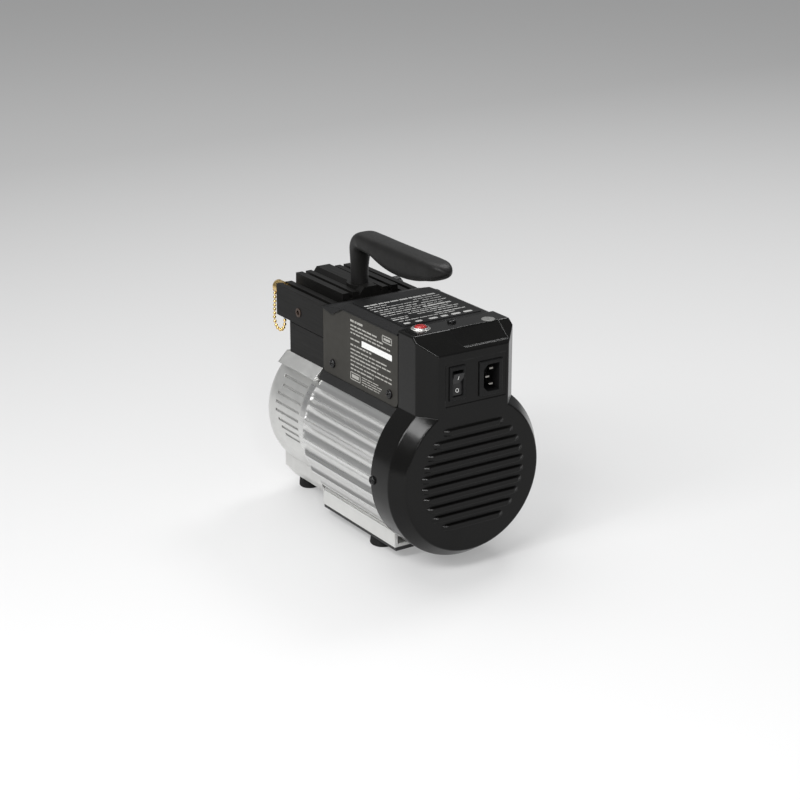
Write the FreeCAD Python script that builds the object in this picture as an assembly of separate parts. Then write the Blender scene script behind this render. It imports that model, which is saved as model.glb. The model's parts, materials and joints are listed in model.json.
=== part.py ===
import FreeCAD, Part
import math
import os
from FreeCAD import Vector

# Two-stage rotary vane vacuum pump, built as it comes apart on a bench.
# Millimetres. X is across the pump, +Z is up, and +Y runs from the fan cover to the pump head.
# Lengths along Y are counted from the fan cover's end face, and everything is moved at export
# so that the origin lies on the floor below the centre of the whole pump.

# ---------------------------------------------------------------- clearances and walls
SEAT_GAP = 0.3          # between curved faces that rest on each other
RUN_GAP = 0.03          # radial running clearance of a shaft
SLIDE_GAP = 0.05        # each side of a sliding vane or button
SCREW_GAP = 0.2         # radial clearance of a screw in its hole
PLASTIC_WALL = 2.5
CAST_WALL = 4.5

# ---------------------------------------------------------------- driving sizes
DRUM_R = 78.0           # fan cover's drum
DRUM_CLEAR = 9.0        # drum above the floor
DRUM_FACE_DROP = 9.3    # radius that the drum loses towards its end face
DRUM_TAPER = 14.0       # length of the cone behind the end face
DRUM_EDGE_R = 2.5
SHROUD_LEN = 41.0
MOTOR_LEN = 138.0
CASING_LEN = 72.0
GASKET_T = 1.0

TOP_RISE = 129.0        # from the axis to the top of the fan cover and of the lid
BOX_HALF_W = 50.4       # outside of the side panels
SHROUD_HALF_W = 50.0
FACE_HALF_W = 36.0      # half width of the switch face between its bevels
BEVEL_LEN = 14.0
CHAMFER_LEN = 19.0      # sloping face above the switch face
CHAMFER_DROP = 15.0
SHROUD_EDGE_R = 2.0
THUMB_X = (-12.0, 38.0) # shallow recess in the sloping face, above the inlet
THUMB_DROP = 12.5       # its lower edge below the cover's top
THUMB_CORNER = 7.0
THUMB_DEPTH = 0.8

LOUVER_COUNT = 10
LOUVER_PITCH = 9.68
LOUVER_TOP_RISE = 44.8  # highest louver above the axis
LOUVER_FIELD_R = 54.0   # round field that holds the louvers' tips
LOUVER_FIELD_RISE = 1.0
LOUVER_H = 5.8          # height at the end face
LOUVER_PROUD = 3.0
LOUVER_END = 5.2        # length of its sloping ends
LOUVER_DRAFT = 0.6      # how much lower its upper side is at the front
LOUVER_SHELL = 1.2

RIB_STEP = 3.5          # from the drum down to the crest of the cooling ribs
HOUSING_WALL = 12.5     # from that crest to the bore
FLANGE_STEP = 6.9       # from that crest to the end that meets the oil casing
FLANGE_TAPER = 12.5     # cone behind the level ring at that end
FLANGE_LEN = 6.5
FRONT_WALL = 11.6
RIB_TOP_DEG = 38.0
RIB_PITCH_DEG = 13.3
GROOVE_COUNT = 6
GROOVE_HALF_W = 7.4
GROOVE_DEPTH = 4.6
GROOVE_END_GAP = 18.0   # from the straight part of each trough to the housing's end
GROOVE_RAMP = 12.0      # over which a trough's floor climbs to the surface

FOOT_H = 8.5
FOOT_R = 12.5
FOOT_TOP_R = 11.0
FOOT_EDGE_R = 2.0
STEM_R = 3.0
STEM_LEN = 5.0
NEAR_FOOT_X = 35.0
NEAR_FOOT_START = 47.0  # along Y from the motor housing's end
FAR_FOOT_X = 20.0
FAR_FOOT_START = 61.5   # along Y from the oil casing's end
FAR_FOOT_R = 10.3
FAR_FOOT_TOP_R = 9.3
FAR_FOOT_H = 11.5
BASE_PLATE_T = 3.5
BASE_PLATE_HALF_W = 46.5
BASE_START = 8.8        # along Y from the motor housing's end
BASE_SHORTER = 17.0     # base rails shorter than the motor housing
RAIL_HALF_W = 47.5
RAIL_WALL = 3.0
RAIL_SLANT_LEN = 17.0
RAIL_SLANT_DROP = 4.0
RAIL_STEP_T = 1.8       # step along the top of the rails
RAIL_STEP_H = 3.6
RAIL_SLOT_HALF_W = 23.0

BOX_SHORTER = 16.5      # electrical box shorter than the motor housing
PANEL_T = 1.6
STRIP_H = 3.54          # strip between the housing's crest and the panel's foot
STRIP_FOOT_OUT = 4.4    # its foot beyond the panels
STRIP_EDGE = 0.8
PANEL_DROP = 5.0        # panel's top below the lid's
PANEL_CORNER_R = 6.0
PANEL_SCREWS = ((12.0, 10.0), (105.0, 11.2))    # along Y from the panel's edge, up from its foot
TRAY_FLOOR_T = 3.0
TRAY_WALL = 2.0
SCREW_BOSS = 9.0
WINDOW_SIDE = 8.0       # end wall left at each side of the wiring window
WINDOW_EDGE = 4.0       # and above and below it
STRIP_T = 1.6
LID_T = 2.5
LID_HALF_W = 51.0
LID_FLAT_HALF_W = 43.0
LID_SLOPE_DROP = 3.6
PLATEAU_LEN = 84.0
PLATEAU_START = 5.0
PLATEAU_HALF_W = 41.5
PLATEAU_T = 0.6
PLATEAU_CORNER_R = 4.0
RAMP_LEN = 31.0         # lid slopes down to the block over this length
RAMP_DROP = 10.0
RAMP_CROWN = 0.4
EAR_T = 1.6
EAR_DROP = 9.5
EAR_LEN = 36.0
EAR_LOW = 0.48          # shares of its length at its lowest point and half way up again
EAR_RISE = 0.14

SWITCH_X = -17.2
SWITCH_DROP = 41.5      # switch and inlet below the cover's top
SWITCH_BEZEL = (15.8, 30.2)
SWITCH_BODY = (13.2, 27.4)
SWITCH_DEPTH = 22.0
SWITCH_TAB_PITCH = 8.0
SPADE_TAB = (6.4, 7.0, 0.8)         # width, length and thickness of every push-on terminal
BEZEL_T = 1.8
ROCKER_W = 10.6
ROCKER_H = 21.0
ROCKER_TILT = 20.0
ROCKER_PIN_R = 1.0
ROCKER_DEPTH = 3.0      # from the switch face to the rocker's pivot
ROCKER_WAIST = 3.0      # depth of the rocker's middle in front of its pivot
ROCKER_WING = 5.2       # depth of its two ends in front of its pivot
ROCKER_HEEL = 2.0       # half height of its foot behind the pivot
BEZEL_EDGE_R = 0.8
INLET_X = 17.3
INLET_DROP = 42.5
INLET_BEZEL = (24.0, 31.0)
INLET_BODY = (20.6, 27.8)
INLET_MOUTH = (16.2, 24.4)
INLET_MOUTH_BEVEL = 4.4
INLET_DEPTH = 26.0
INLET_MOUTH_DEPTH = 17.0
PIN_T = 2.0
PIN_W = 4.0
PIN_EDGE_R = 0.5
PIN_SPACING = 7.0
PIN_OFFSET = 2.0
RECESS_DEPTH = 0.4
RECESS_MARGIN = 4.0

BREAKER_X = -31.5
BREAKER_BACK = 6.7      # breaker, lid screw and side screws in front of the cover's rim
BREAKER_BODY = (20.0, 12.0, 22.0)
BREAKER_TAB_PITCH = 10.0
BUSHING_R = 6.4
BUTTON_R = 5.5
RING_R = 7.3
RING_T = 1.6
BUTTON_PROUD = 2.8
BUTTON_DEPTH = 10.0     # depth of its bore below the cover's top
BUTTON_EDGE_R = 2.3
BUTTON_TRAVEL = 2.5
LID_SCREW_X = 0.6
LID_SCREW_BACK = 6.2

PAN_HEAD_R = 3.9
PAN_HEAD_H = 2.4
PAN_SHANK_R = 1.8
PAN_LEN = 9.0
SHROUD_SCREW_BACK = 3.4
PAN_SLOT = (0.9, 4.4, 1.2)         # width, length and depth of the cross recess
PAN_SLOT_TURN = 20.0

BLOCK_HALF_W = 50.5     # finned intake block
BLOCK_H = 39.3
BLOCK_LEN = 82.5
FIN_INNER = (44.8, 34.2, 22.6, 12.9)        # X of each fin's two sides, from the outermost in
FIN_OUTER = (50.5, 40.5, 29.3, 18.7)
FIN_TOP_DROP = (9.6, 9.6, 2.6, 2.6)         # its top, and the floor inside it, below the block's top
FIN_FLOOR_DROP = (14.0, 20.0, 8.5, 6.5)
FIN_DRAFT = 0.4
CENTRE_RIB_HALF = 7.0
CENTRE_RIB_FOOT = 11.8
BOSS_R = 12.5
VALVE_BLOCK_LEN = 60.0
VALVE_GROOVE = 0.5
VALVE_STEP = 0.1        # valve block's sides inside the intake block's
VALVE_EDGE_R = 1.5

PLUG_START = 43.0       # along Y from the block's end
PLUG_RISE = 11.6        # above the block's foot
PLUG_R = 4.2
PLUG_LEN = 9.0
PLUG_PROUD = 0.7
PLUG_SOCKET_R = 2.3
PLUG_SOCKET_DEPTH = 4.0

HANDLE_START = 17.3     # handle's stem along Y from the block's end
HANDLE_RISE = 49.7      # handle's top above the lid's
HANDLE_BACK_R = 21.0
HANDLE_BACK = 7.0       # back of the bend behind the stem
HANDLE_OVERHANG = 2.2   # nose beyond the motor housing's end
HANDLE_HALF_W = 11.6
STEM_HALF_W = 8.0
HANDLE_CORE_R = 6.0
HANDLE_CORE_BEND = 14.0
HANDLE_CORE_DROP = 9.0
HANDLE_THREAD_LEN = 12.0
GRIP_BEND_STEPS = 6
GRIP_ARM = ((0.15, 18.6), (0.22, 21.8), (0.32, 24.8), (0.42, 26.0), (0.52, 26.1), (0.62, 25.0),
            (0.71, 23.0), (0.79, 20.4))                 # share of the arm's length, depth
GRIP_NOSE = ((15.0, 0.5, 16.0, 10.8), (8.0, 2.0, 11.6, 8.8), (3.5, 4.0, 7.0, 6.4),
             (0.0, 6.0, 3.0, 3.4))     # from the nose: place, drop of the top, depth, half width
GRIP_THROAT_R = 4.0     # inside of the bend
GRIP_TOP_R = 5.0
GRIP_LOW_R = 8.0
GRIP_ROUND = 0.62

PORT_X = -42.0
PORT_DROP = 16.0        # below the block's top
PORT_THREAD_R = 4.6
PORT_THREAD_LEN = 10.0
PORT_HEX_AF = 11.6
PORT_HEX_LEN = 2.4
PORT_NOSE_R = 4.2
PORT_NOSE_LEN = 7.0
PORT_BORE_R = 2.4
CAP_R = 6.0
CAP_LEN = 9.4
CAP_END_T = 1.6
CHAIN_X = -45.9
CHAIN_TOP_DROP = 5.0    # ends of the chain's hang below the port's axis
CHAIN_LOW_DROP = 42.5
CHAIN_ANCHOR_BACK = 6.5
BEAD_R = 1.2
LINK_R = 0.45
BEAD_PITCH = 3.1
EYE_R = 1.8
EYE_LEN = 3.0
EYE_T = 1.0
EYE_HOLE_R = 1.0
TAG_T = 0.8
TAG_HALF_W = 1.3

CASING_STEP = 1.6       # from the motor housing's end down to the casing
CASING_EDGE_R = 20.0
SHOULDER_LAP = 1.5      # shoulder's top above the panels' foot
SHOULDER_SLOPE_OUT = 10.0           # its sloping sides, down and out from its top
SHOULDER_SLOPE_DROP = 9.9
SHOULDER_ROOT_DROP = 2.7            # and from there back in to the drum
SHOULDER_OVERLAP = 15.0             # over the motor housing
SHOULDER_LEN = 67.0
SHOULDER_EDGE_R = 5.0
PEDESTAL_HALF_W = 42.0
PEDESTAL_FOOT_HALF_W = 31.5
PEDESTAL_KNEE_H = 12.5  # above the far feet
PEDESTAL_TOP_DROP = 25.0            # below the axis
PEDESTAL_START = 2.0                # from the casing's two ends
PEDESTAL_BACK = 3.0
CASING_GROOVE_RISES = (36.6, 29.1, 21.2, 13.3, 5.4, -2.2, -8.7, -14.9)    # above the axis
CASING_GROOVE_START = 3.5
CASING_GROOVE_LENS = (41.0, 38.0, 42.0, 42.0, 41.0, 36.0, 31.0, 26.0)
CASING_GROOVE_R = 1.2

CASING_SCREW_IN = 9.5   # screws inside the adapter's edge
CASING_SCREW_DEG = (20.0, 160.0, 200.0, 340.0)
M5_R = 2.5
M5_HEAD_R = 4.25
M5_HEAD_H = 5.0
M5_SOCKET_R = 2.3
M5_EDGE_R = 0.5

GLASS_DROP = 11.0       # below the axis
GLASS_R = 12.5
GLASS_T = 5.5
GLASS_RING_R = 17.0
GLASS_RING_T = 3.0
GLASS_LIP = 2.5         # of the ring over the glass's edge
FILL_X = 24.0
FILL_RISE = 29.5
FILL_NECK_R = 8.0
FILL_BORE_R = 6.0
FILL_NECK_LEN = 6.0
FILL_CAP_R = 12.5
FILL_CAP_LEN = 12.0
DRAIN_DROP = 38.0
DRAIN_R = 5.0
DRAIN_AF = 13.0
DRAIN_HEX_LEN = 6.0
SPOUT_LEN = 4.0
DRAIN_KNOB_R = 8.0
DRAIN_KNOB_LEN = 9.0
BALLAST_START = 51.5    # along Y from the block's end
BALLAST_RISE = 14.8     # above the block's foot
BALLAST_R = 5.0
BALLAST_HEX_LEN = 3.0
BALLAST_AF = 13.0
BALLAST_KNOB_R = 11.0
BALLAST_KNOB_LEN = 11.0
KNOB_FLUTES = 12
KNOB_FLUTE_R = 1.6
KNOB_FLUTE_OUT = 0.72   # flutes' middles outside the knob
KNOB_CAP_T = 2.0        # end wall of each knob
KNOB_EDGE_R = 1.4
SMALL_EDGE_R = 0.8
COLLAR_R = 2.5          # valve stems inside the knobs

# ---------------------------------------------------------------- inside the motor
SHAFT_REAR_R = 7.5
SHAFT_MID_R = 9.5
SHAFT_FRONT_R = 8.5
SHAFT_TAIL = 1.5        # shaft beyond the fan's hub
REAR_BEARING_R = 17.5
REAR_BEARING_W = 11.0
FRONT_BEARING_R = 20.0
FRONT_BEARING_W = 12.0
FAN_TIP_GAP = 8.7       # inside the drum's end face
FAN_LEN = 18.0
FAN_BACK = 26.5         # fan's rear end from the cover's rim
FAN_BLADES = 9
FAN_HUB_R = 15.0
FAN_PLATE_T = 2.5
BLADE_T = 2.0
BLADE_BACK = 2.0        # blades shorter than their hub
BELL_RIM_LEN = 7.0
BELL_WEB_T = 6.0
BELL_HUB_WALL = 5.0
BELL_VENTS = 6
BELL_VENT_R = 7.0
BELL_VENT_IN = 20.0     # vents' middles inside the housing's bore
STATOR_START = 29.0     # along Y from the housing's end
STATOR_SHORTER = 80.0   # core shorter than the motor housing
STATOR_RING_T = 27.5
ROTOR_GAP = 0.4
COIL_LEN = 12.0
COIL_IN_GAP = 3.5       # end turns clear of the rotor's tunnel
COIL_OUT_GAP = 5.0      # and of the housing
COIL_EDGE_R = 4.0
FRONT_BELL_BACK = 36.0  # from the housing's far end
BELL_STEP = 1.0         # bearing's seat from the bell's face
FRONT_BELL_STEP = 2.0
HUB_R = 20.0
HUB_DISC_T = 6.0
JAW_LEN = 7.0
JAW_COUNT = 3
JAW_DEG = 50.0
LEG_SLACK_DEG = 0.4
HUB_START = 12.5        # coupling from the front bell
HUB_CORE_R = 11.0       # spider's middle, inside the jaws
WINDING_SLOTS = 24
WINDING_SLOT_R = 2.6
WINDING_SLOT_DEPTH = 9.0            # from the stator bore to the slot's middle
END_RING_LEN = 6.0
END_RING_DROP = 3.0
BEARING_SHARE = 0.3     # thickness of each ring as a share of the bearing's depth
BEARING_BALLS = 8

# ---------------------------------------------------------------- inside the electrical box
CAPACITOR_R = 18.0
CAPACITOR_LEN = 78.0
CAPACITOR_X = 19.0
CAPACITOR_START = 14.0
TERMINAL = (24.0, 46.0, 15.0)
TERMINAL_X1 = -15.0
TERMINAL_START = 30.0
TERMINAL_WAYS = 5
TERMINAL_ROWS = (0.25, 0.75)        # shares of the block's width
TERMINAL_WAY_R = 2.0
TERMINAL_WAY_DEPTH = 6.0
CAPACITOR_EDGE_R = 2.0
CAPACITOR_TAB_PITCH = 12.0

# ---------------------------------------------------------------- vane pump inside the oil casing
ADAPTER_SPIGOT = 3.5
ADAPTER_IN = 12.0       # adapter's edge inside the casing's outside
ADAPTER_SEAT = 6.0
ADAPTER_SKIN = 3.0      # left under its blind screw holes
SEAL_R = 14.0
SEAL_LEN = 8.0
PUMP_IN = 14.0          # cylinders inside the adapter's edge
PUMP_WALL = 15.0
VANE_STEP = 3.0         # rotor smaller than its bore
JOURNAL_R = 7.0
PLATE_T = 5.0
STAGE_LENS = (20.0, 11.0)
END_GAP = 0.06
VANE_T = 4.0
SPRING_ROOM = 6.5       # from the axis to each vane's inner edge
TIE_R = 3.0
TIE_HEAD_R = 4.9
TIE_HEAD_H = 4.0
TIE_IN = 6.0            # tie bolts inside the cylinders' edge
TIE_THREAD_LEN = 7.0
THREAD_RUN_OUT = 1.0
TIE_DEGS = (45.0, 135.0, 225.0, 315.0)
SPRING_R = 1.6
PORT_HOLE_R = 3.0
VALVE_FLAT_CUT = 5.0    # depth of each cylinder's flat
PORT_HOLE_X = 8.0
SPRING_PLACES = (0.3, 0.7)          # shares of a vane's length

# ---------------------------------------------------------------- stations worked out from the sizes
AXIS_Z = DRUM_R + DRUM_CLEAR        # motor and pump axis above the floor
MOTOR_Y0 = SHROUD_LEN
MOTOR_Y1 = MOTOR_Y0 + MOTOR_LEN
CASING_Y0 = MOTOR_Y1 + GASKET_T
CASING_Y1 = CASING_Y0 + CASING_LEN
BOX_LEN = MOTOR_LEN - BOX_SHORTER
BOX_Y0 = SHROUD_LEN
BOX_Y1 = BOX_Y0 + BOX_LEN
BLOCK_Y0 = BOX_Y1
BLOCK_Y1 = BLOCK_Y0 + BLOCK_LEN
SHROUD_SCREW_Y = SHROUD_LEN - SHROUD_SCREW_BACK
BREAKER_Y = SHROUD_LEN - BREAKER_BACK
LID_SCREW = (LID_SCREW_X, SHROUD_LEN - LID_SCREW_BACK)
BASE_Y0 = MOTOR_Y0 + BASE_START
BASE_LEN = MOTOR_LEN - BASE_SHORTER
NEAR_FOOT = (NEAR_FOOT_X, MOTOR_Y0 + NEAR_FOOT_START)
FAR_FOOT = (FAR_FOOT_X, CASING_Y0 + FAR_FOOT_START)
PLUG_Y = BLOCK_Y0 + PLUG_START
BALLAST_Y = BLOCK_Y0 + BALLAST_START
HANDLE_Y = BLOCK_Y0 + HANDLE_START
HANDLE_BACK_Y = HANDLE_Y + HANDLE_BACK
HANDLE_NOSE_Y = MOTOR_Y0 - HANDLE_OVERHANG
CHAIN_ANCHOR_Y = BLOCK_Y1 - CHAIN_ANCHOR_BACK
SHOULDER_Y0 = MOTOR_Y1 - SHOULDER_OVERLAP
PEDESTAL_Y = (CASING_Y0 + PEDESTAL_START, CASING_Y1 - PEDESTAL_BACK)
CASING_GROOVE_Y0 = CASING_Y0 + CASING_GROOVE_START

DRUM_FACE_R = DRUM_R - DRUM_FACE_DROP
HOUSING_R = DRUM_R - RIB_STEP
HOUSING_BORE_R = HOUSING_R - HOUSING_WALL
FLANGE_R = HOUSING_R - FLANGE_STEP
FRONT_BORE_R = FLANGE_R - FRONT_WALL
CASING_R = FLANGE_R - CASING_STEP
CASING_IN_R = CASING_R - CAST_WALL
CASING_END_Y = CASING_Y1 - CAST_WALL

BASE_Z0 = FOOT_H + BASE_PLATE_T
TOP_Z = AXIS_Z + TOP_RISE
LID_Z0 = TOP_Z - LID_T
LID_SIDE_Z = TOP_Z - LID_SLOPE_DROP
RAMP_Y0 = BOX_Y1 - RAMP_LEN
RAMP_END_Z = TOP_Z - RAMP_DROP
THUMB_Z0 = TOP_Z - THUMB_DROP
LOUVER_TOP_Z = AXIS_Z + LOUVER_TOP_RISE
LOUVER_FIELD_Z = AXIS_Z + LOUVER_FIELD_RISE
PANEL_Z0 = AXIS_Z + math.sqrt(HOUSING_R ** 2 - BOX_HALF_W ** 2) + STRIP_H
PANEL_Z1 = TOP_Z - PANEL_DROP
PANEL_REAR_Z = RAMP_END_Z - (LID_SIDE_Z - PANEL_Z1)
SWITCH_Z = TOP_Z - SWITCH_DROP
INLET_Z = TOP_Z - INLET_DROP
SWITCH_FACE_Y = RECESS_DEPTH
BLOCK_Z0 = TOP_Z - BLOCK_H
PLUG_Z = BLOCK_Z0 + PLUG_RISE
BALLAST_Z = BLOCK_Z0 + BALLAST_RISE
HANDLE_TOP_Z = TOP_Z + HANDLE_RISE
HANDLE_CORE_Z = HANDLE_TOP_Z - HANDLE_CORE_DROP
PORT_Z = TOP_Z - PORT_DROP
CHAIN_TOP_Z = PORT_Z - CHAIN_TOP_DROP
CHAIN_LOW_Z = PORT_Z - CHAIN_LOW_DROP
SHOULDER_TOP_Z = PANEL_Z0 + SHOULDER_LAP
SHOULDER_LOW = (BLOCK_HALF_W + SHOULDER_SLOPE_OUT, SHOULDER_TOP_Z - SHOULDER_SLOPE_DROP)
SHOULDER_ROOT_Z = SHOULDER_LOW[1] - SHOULDER_ROOT_DROP
PEDESTAL_KNEE_Z = FAR_FOOT_H + PEDESTAL_KNEE_H
PEDESTAL_TOP_Z = AXIS_Z - PEDESTAL_TOP_DROP
GLASS_Z = AXIS_Z - GLASS_DROP
FILL_Z = AXIS_Z + FILL_RISE
DRAIN_Z = AXIS_Z - DRAIN_DROP

ADAPTER_R = CASING_R - ADAPTER_IN
ADAPTER_Y0 = MOTOR_Y1 - ADAPTER_SPIGOT
ADAPTER_Y1 = CASING_Y0 + ADAPTER_SEAT
CASING_SCREW_R = ADAPTER_R - CASING_SCREW_IN
PUMP_Y0 = ADAPTER_Y1
PUMP_R = ADAPTER_R - PUMP_IN
BORE_R = PUMP_R - PUMP_WALL
VANE_ROTOR_R = BORE_R - VANE_STEP
TIE_PCR = PUMP_R - TIE_IN
VALVE_FLAT = PUMP_R - VALVE_FLAT_CUT
ECCENTRICITY = BORE_R - VANE_ROTOR_R - RUN_GAP
PORT_Y1 = BLOCK_Y1 + PORT_HEX_LEN
CAP_Y0 = PORT_Y1 + SEAT_GAP
CAP_Y1 = CAP_Y0 + CAP_LEN
DRAIN_KNOB_Y1 = CASING_Y1 + DRAIN_HEX_LEN + SEAT_GAP + DRAIN_KNOB_LEN
FILL_CAP_Y1 = CASING_Y1 + SEAT_GAP + FILL_CAP_LEN
ROCKER_Y = SWITCH_FACE_Y + ROCKER_DEPTH
ROCKER_PROUD = (ROCKER_WING * math.cos(math.radians(ROCKER_TILT / 2))
                + ROCKER_H / 2 * math.sin(math.radians(ROCKER_TILT / 2)))
FAN_R = DRUM_FACE_R - FAN_TIP_GAP
FAN_Y0 = SHROUD_LEN - FAN_BACK
SHAFT_Y0 = FAN_Y0 - SHAFT_TAIL
REAR_BEARING_Y0 = MOTOR_Y0 + BELL_STEP
FRONT_BELL_Y0 = MOTOR_Y1 - FRONT_BELL_BACK
FRONT_BEARING_Y0 = FRONT_BELL_Y0 - FRONT_BELL_STEP
BELL_VENT_PCR = HOUSING_BORE_R - BELL_VENT_IN
STATOR_Y0 = MOTOR_Y0 + STATOR_START
STATOR_Y1 = STATOR_Y0 + MOTOR_LEN - STATOR_SHORTER
STATOR_BORE_R = HOUSING_BORE_R - STATOR_RING_T
COIL_IN_R = STATOR_BORE_R + COIL_IN_GAP
COIL_OUT_R = HOUSING_BORE_R - COIL_OUT_GAP
HUB_Y0 = FRONT_BELL_Y0 + HUB_START
ROTOR_R = STATOR_BORE_R - ROTOR_GAP
JAW_Y0 = HUB_Y0 + HUB_DISC_T
JAW_Y1 = JAW_Y0 + JAW_LEN
REAR_REACH = min(-LOUVER_PROUD, SWITCH_FACE_Y - BEZEL_T, ROCKER_Y - ROCKER_PROUD)
FRONT_REACH = max(CAP_Y1 + TAG_T, DRAIN_KNOB_Y1, FILL_CAP_Y1)
CENTRE_Y = (REAR_REACH + FRONT_REACH) / 2


# ---------------------------------------------------------------- shape helpers
def box(x0, x1, y0, y1, z0, z1):
    return Part.makeBox(x1 - x0, y1 - y0, z1 - z0, Vector(x0, y0, z0))


def rod(radius, y0, y1, x=0.0, z=AXIS_Z):
    """Round bar along Y."""
    return Part.makeCylinder(radius, y1 - y0, Vector(x, y0, z), Vector(0, 1, 0))


def post(radius, z0, z1, x, y):
    """Round bar along Z."""
    return Part.makeCylinder(radius, z1 - z0, Vector(x, y, z0), Vector(0, 0, 1))


def cross_bar(radius, x0, x1, y, z):
    """Round bar along X."""
    return Part.makeCylinder(radius, x1 - x0, Vector(x0, y, z), Vector(1, 0, 0))


def cone(r0, r1, y0, y1, x=0.0, z=AXIS_Z):
    return Part.makeCone(r0, r1, y1 - y0, Vector(x, y0, z), Vector(0, 1, 0))


def tube(r_out, r_in, y0, y1, x=0.0, z=AXIS_Z):
    return rod(r_out, y0, y1, x, z).cut(rod(r_in, y0 - 1, y1 + 1, x, z))


def face_of(points):
    return Part.Face(Part.makePolygon(points + [points[0]]))


def prism_y(points, y0, y1):
    """Closed outline in X and Z, drawn out along Y."""
    return face_of([Vector(x, y0, z) for x, z in points]).extrude(Vector(0, y1 - y0, 0))


def ramp_y(near, y0, far, y1):
    """Solid between two outlines with as many corners, at two places along Y."""
    wires = []
    for points, y in ((near, y0), (far, y1)):
        wires.append(Part.makePolygon([Vector(x, y, z) for x, z in points + points[:1]]))
    return Part.makeLoft(wires, True, True)


def prism_x(points, x0, x1):
    """Closed outline in Y and Z, drawn out along X."""
    return face_of([Vector(x0, y, z) for y, z in points]).extrude(Vector(x1 - x0, 0, 0))


def prism_z(points, z0, z1):
    """Closed outline in X and Y, drawn out along Z."""
    return face_of([Vector(x, y, z0) for x, y in points]).extrude(Vector(0, 0, z1 - z0))


def hexagon(flats, y0, y1, x, z):
    """Hexagon bar along Y with a flat on top."""
    radius = flats / math.sqrt(3)
    corners = [(x + radius * math.cos(math.radians(60 * i)), z + radius * math.sin(math.radians(60 * i)))
               for i in range(6)]
    return prism_y(corners, y0, y1)


def mirrored(shape):
    return shape.mirror(Vector(0, 0, 0), Vector(1, 0, 0))


def both_sides(shape):
    return [shape, mirrored(shape)]


def joined(shapes):
    """One solid from touching or crossing solids."""
    result = shapes[0].multiFuse(shapes[1:]) if len(shapes) > 1 else shapes[0]
    return result.removeSplitter()


def group(shapes):
    """Separate solids that share a node."""
    return Part.makeCompound(shapes)


def around(shape, degrees):
    """Copy turned about the motor axis."""
    copy = shape.copy()
    copy.rotate(Vector(0, 0, AXIS_Z), Vector(0, 1, 0), degrees)
    return copy


def polar(radius, degrees):
    """X and Z at a radius and at an angle above the horizontal, seen from the fan cover."""
    angle = math.radians(degrees)
    return radius * math.cos(angle), AXIS_Z + radius * math.sin(angle)


def on_cylinder(radius, x):
    """Height of a cylinder about the motor axis at a distance from its middle plane."""
    return AXIS_Z + math.sqrt(radius ** 2 - x ** 2)


def below_cylinder(radius, x):
    return AXIS_Z - math.sqrt(radius ** 2 - x ** 2)


def inset_outline(points, depth):
    """Move every side of a convex outline, given anticlockwise, inwards by a depth."""
    sides = []
    for (u0, v0), (u1, v1) in zip(points, points[1:] + points[:1]):
        length = math.hypot(u1 - u0, v1 - v0)
        normal = (-(v1 - v0) / length, (u1 - u0) / length)
        sides.append((normal, normal[0] * u0 + normal[1] * v0 + depth))
    corners = []
    for (n0, d0), (n1, d1) in zip(sides[-1:] + sides[:-1], sides):
        cross = n0[0] * n1[1] - n0[1] * n1[0]
        corners.append(((d0 * n1[1] - d1 * n0[1]) / cross, (n0[0] * d1 - n1[0] * d0) / cross))
    return corners


def rounded(shape, radius, chosen):
    """Fillet the edges whose midpoint passes a test."""
    edges = [e for e in shape.Edges if chosen(e.valueAt((e.FirstParameter + e.LastParameter) / 2))]
    return shape.makeFillet(radius, edges)


# ---------------------------------------------------------------- fan cover
def shroud_box(inset):
    """Upper part of the fan cover, with its outer faces moved in by a wall; open at the back."""
    back = SHROUD_LEN + inset
    foot = AXIS_Z - inset
    side = [(0, foot), (back, foot), (back, TOP_Z), (CHAMFER_LEN, TOP_Z), (0, TOP_Z - CHAMFER_DROP)]
    plan = [(-FACE_HALF_W, 0), (FACE_HALF_W, 0), (SHROUD_HALF_W, BEVEL_LEN), (SHROUD_HALF_W, back),
            (-SHROUD_HALF_W, back), (-SHROUD_HALF_W, BEVEL_LEN)]
    lengthwise = prism_x(inset_outline(side, inset), inset - SHROUD_HALF_W, SHROUD_HALF_W - inset)
    upright = prism_z(inset_outline(plan, inset), AXIS_Z, TOP_Z)
    return lengthwise.common(upright)


def shroud_drum(inset):
    taper = cone(DRUM_FACE_R - inset, DRUM_R - inset, inset, DRUM_TAPER)
    return joined([taper, rod(DRUM_R - inset, DRUM_TAPER, SHROUD_LEN)])


def louver_rows():
    """Height and half length of each louver: the chords of one round field."""
    rows = []
    for i in range(LOUVER_COUNT):
        z = LOUVER_TOP_Z - i * LOUVER_PITCH
        rows.append((z, math.sqrt(LOUVER_FIELD_R ** 2 - (z - LOUVER_FIELD_Z) ** 2)))
    return rows


def louver_outline(z, half, share):
    """Round-ended outline of a louver; share 0 lies in the end face and share 1 is its flat front."""
    r = LOUVER_H / 2 - LOUVER_DRAFT * share
    x = half - LOUVER_END * share - r
    y = -LOUVER_PROUD * share
    return Part.Wire([
        Part.makeLine(Vector(-x, y, z + r), Vector(x, y, z + r)),
        Part.Arc(Vector(x, y, z + r), Vector(x + r, y, z), Vector(x, y, z - r)).toShape(),
        Part.makeLine(Vector(x, y, z - r), Vector(-x, y, z - r)),
        Part.Arc(Vector(-x, y, z - r), Vector(-x - r, y, z), Vector(-x, y, z + r)).toShape()])


def louver_hood(z, half):
    """Hood with sloping round ends, rooted a little way into the end wall."""
    return Part.makeLoft([louver_outline(z, half, -0.2), louver_outline(z, half, 1)], True, True)


def louver_slot(z, half):
    """Air gap behind a hood, open through the wall and at the hood's lower side."""
    x = half - LOUVER_END - LOUVER_H / 2
    top = z + LOUVER_H / 2 - LOUVER_DRAFT - LOUVER_SHELL
    return box(-x, x, LOUVER_SHELL - LOUVER_PROUD, PLASTIC_WALL + 1, z - LOUVER_H / 2 - SEAT_GAP, top)


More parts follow.
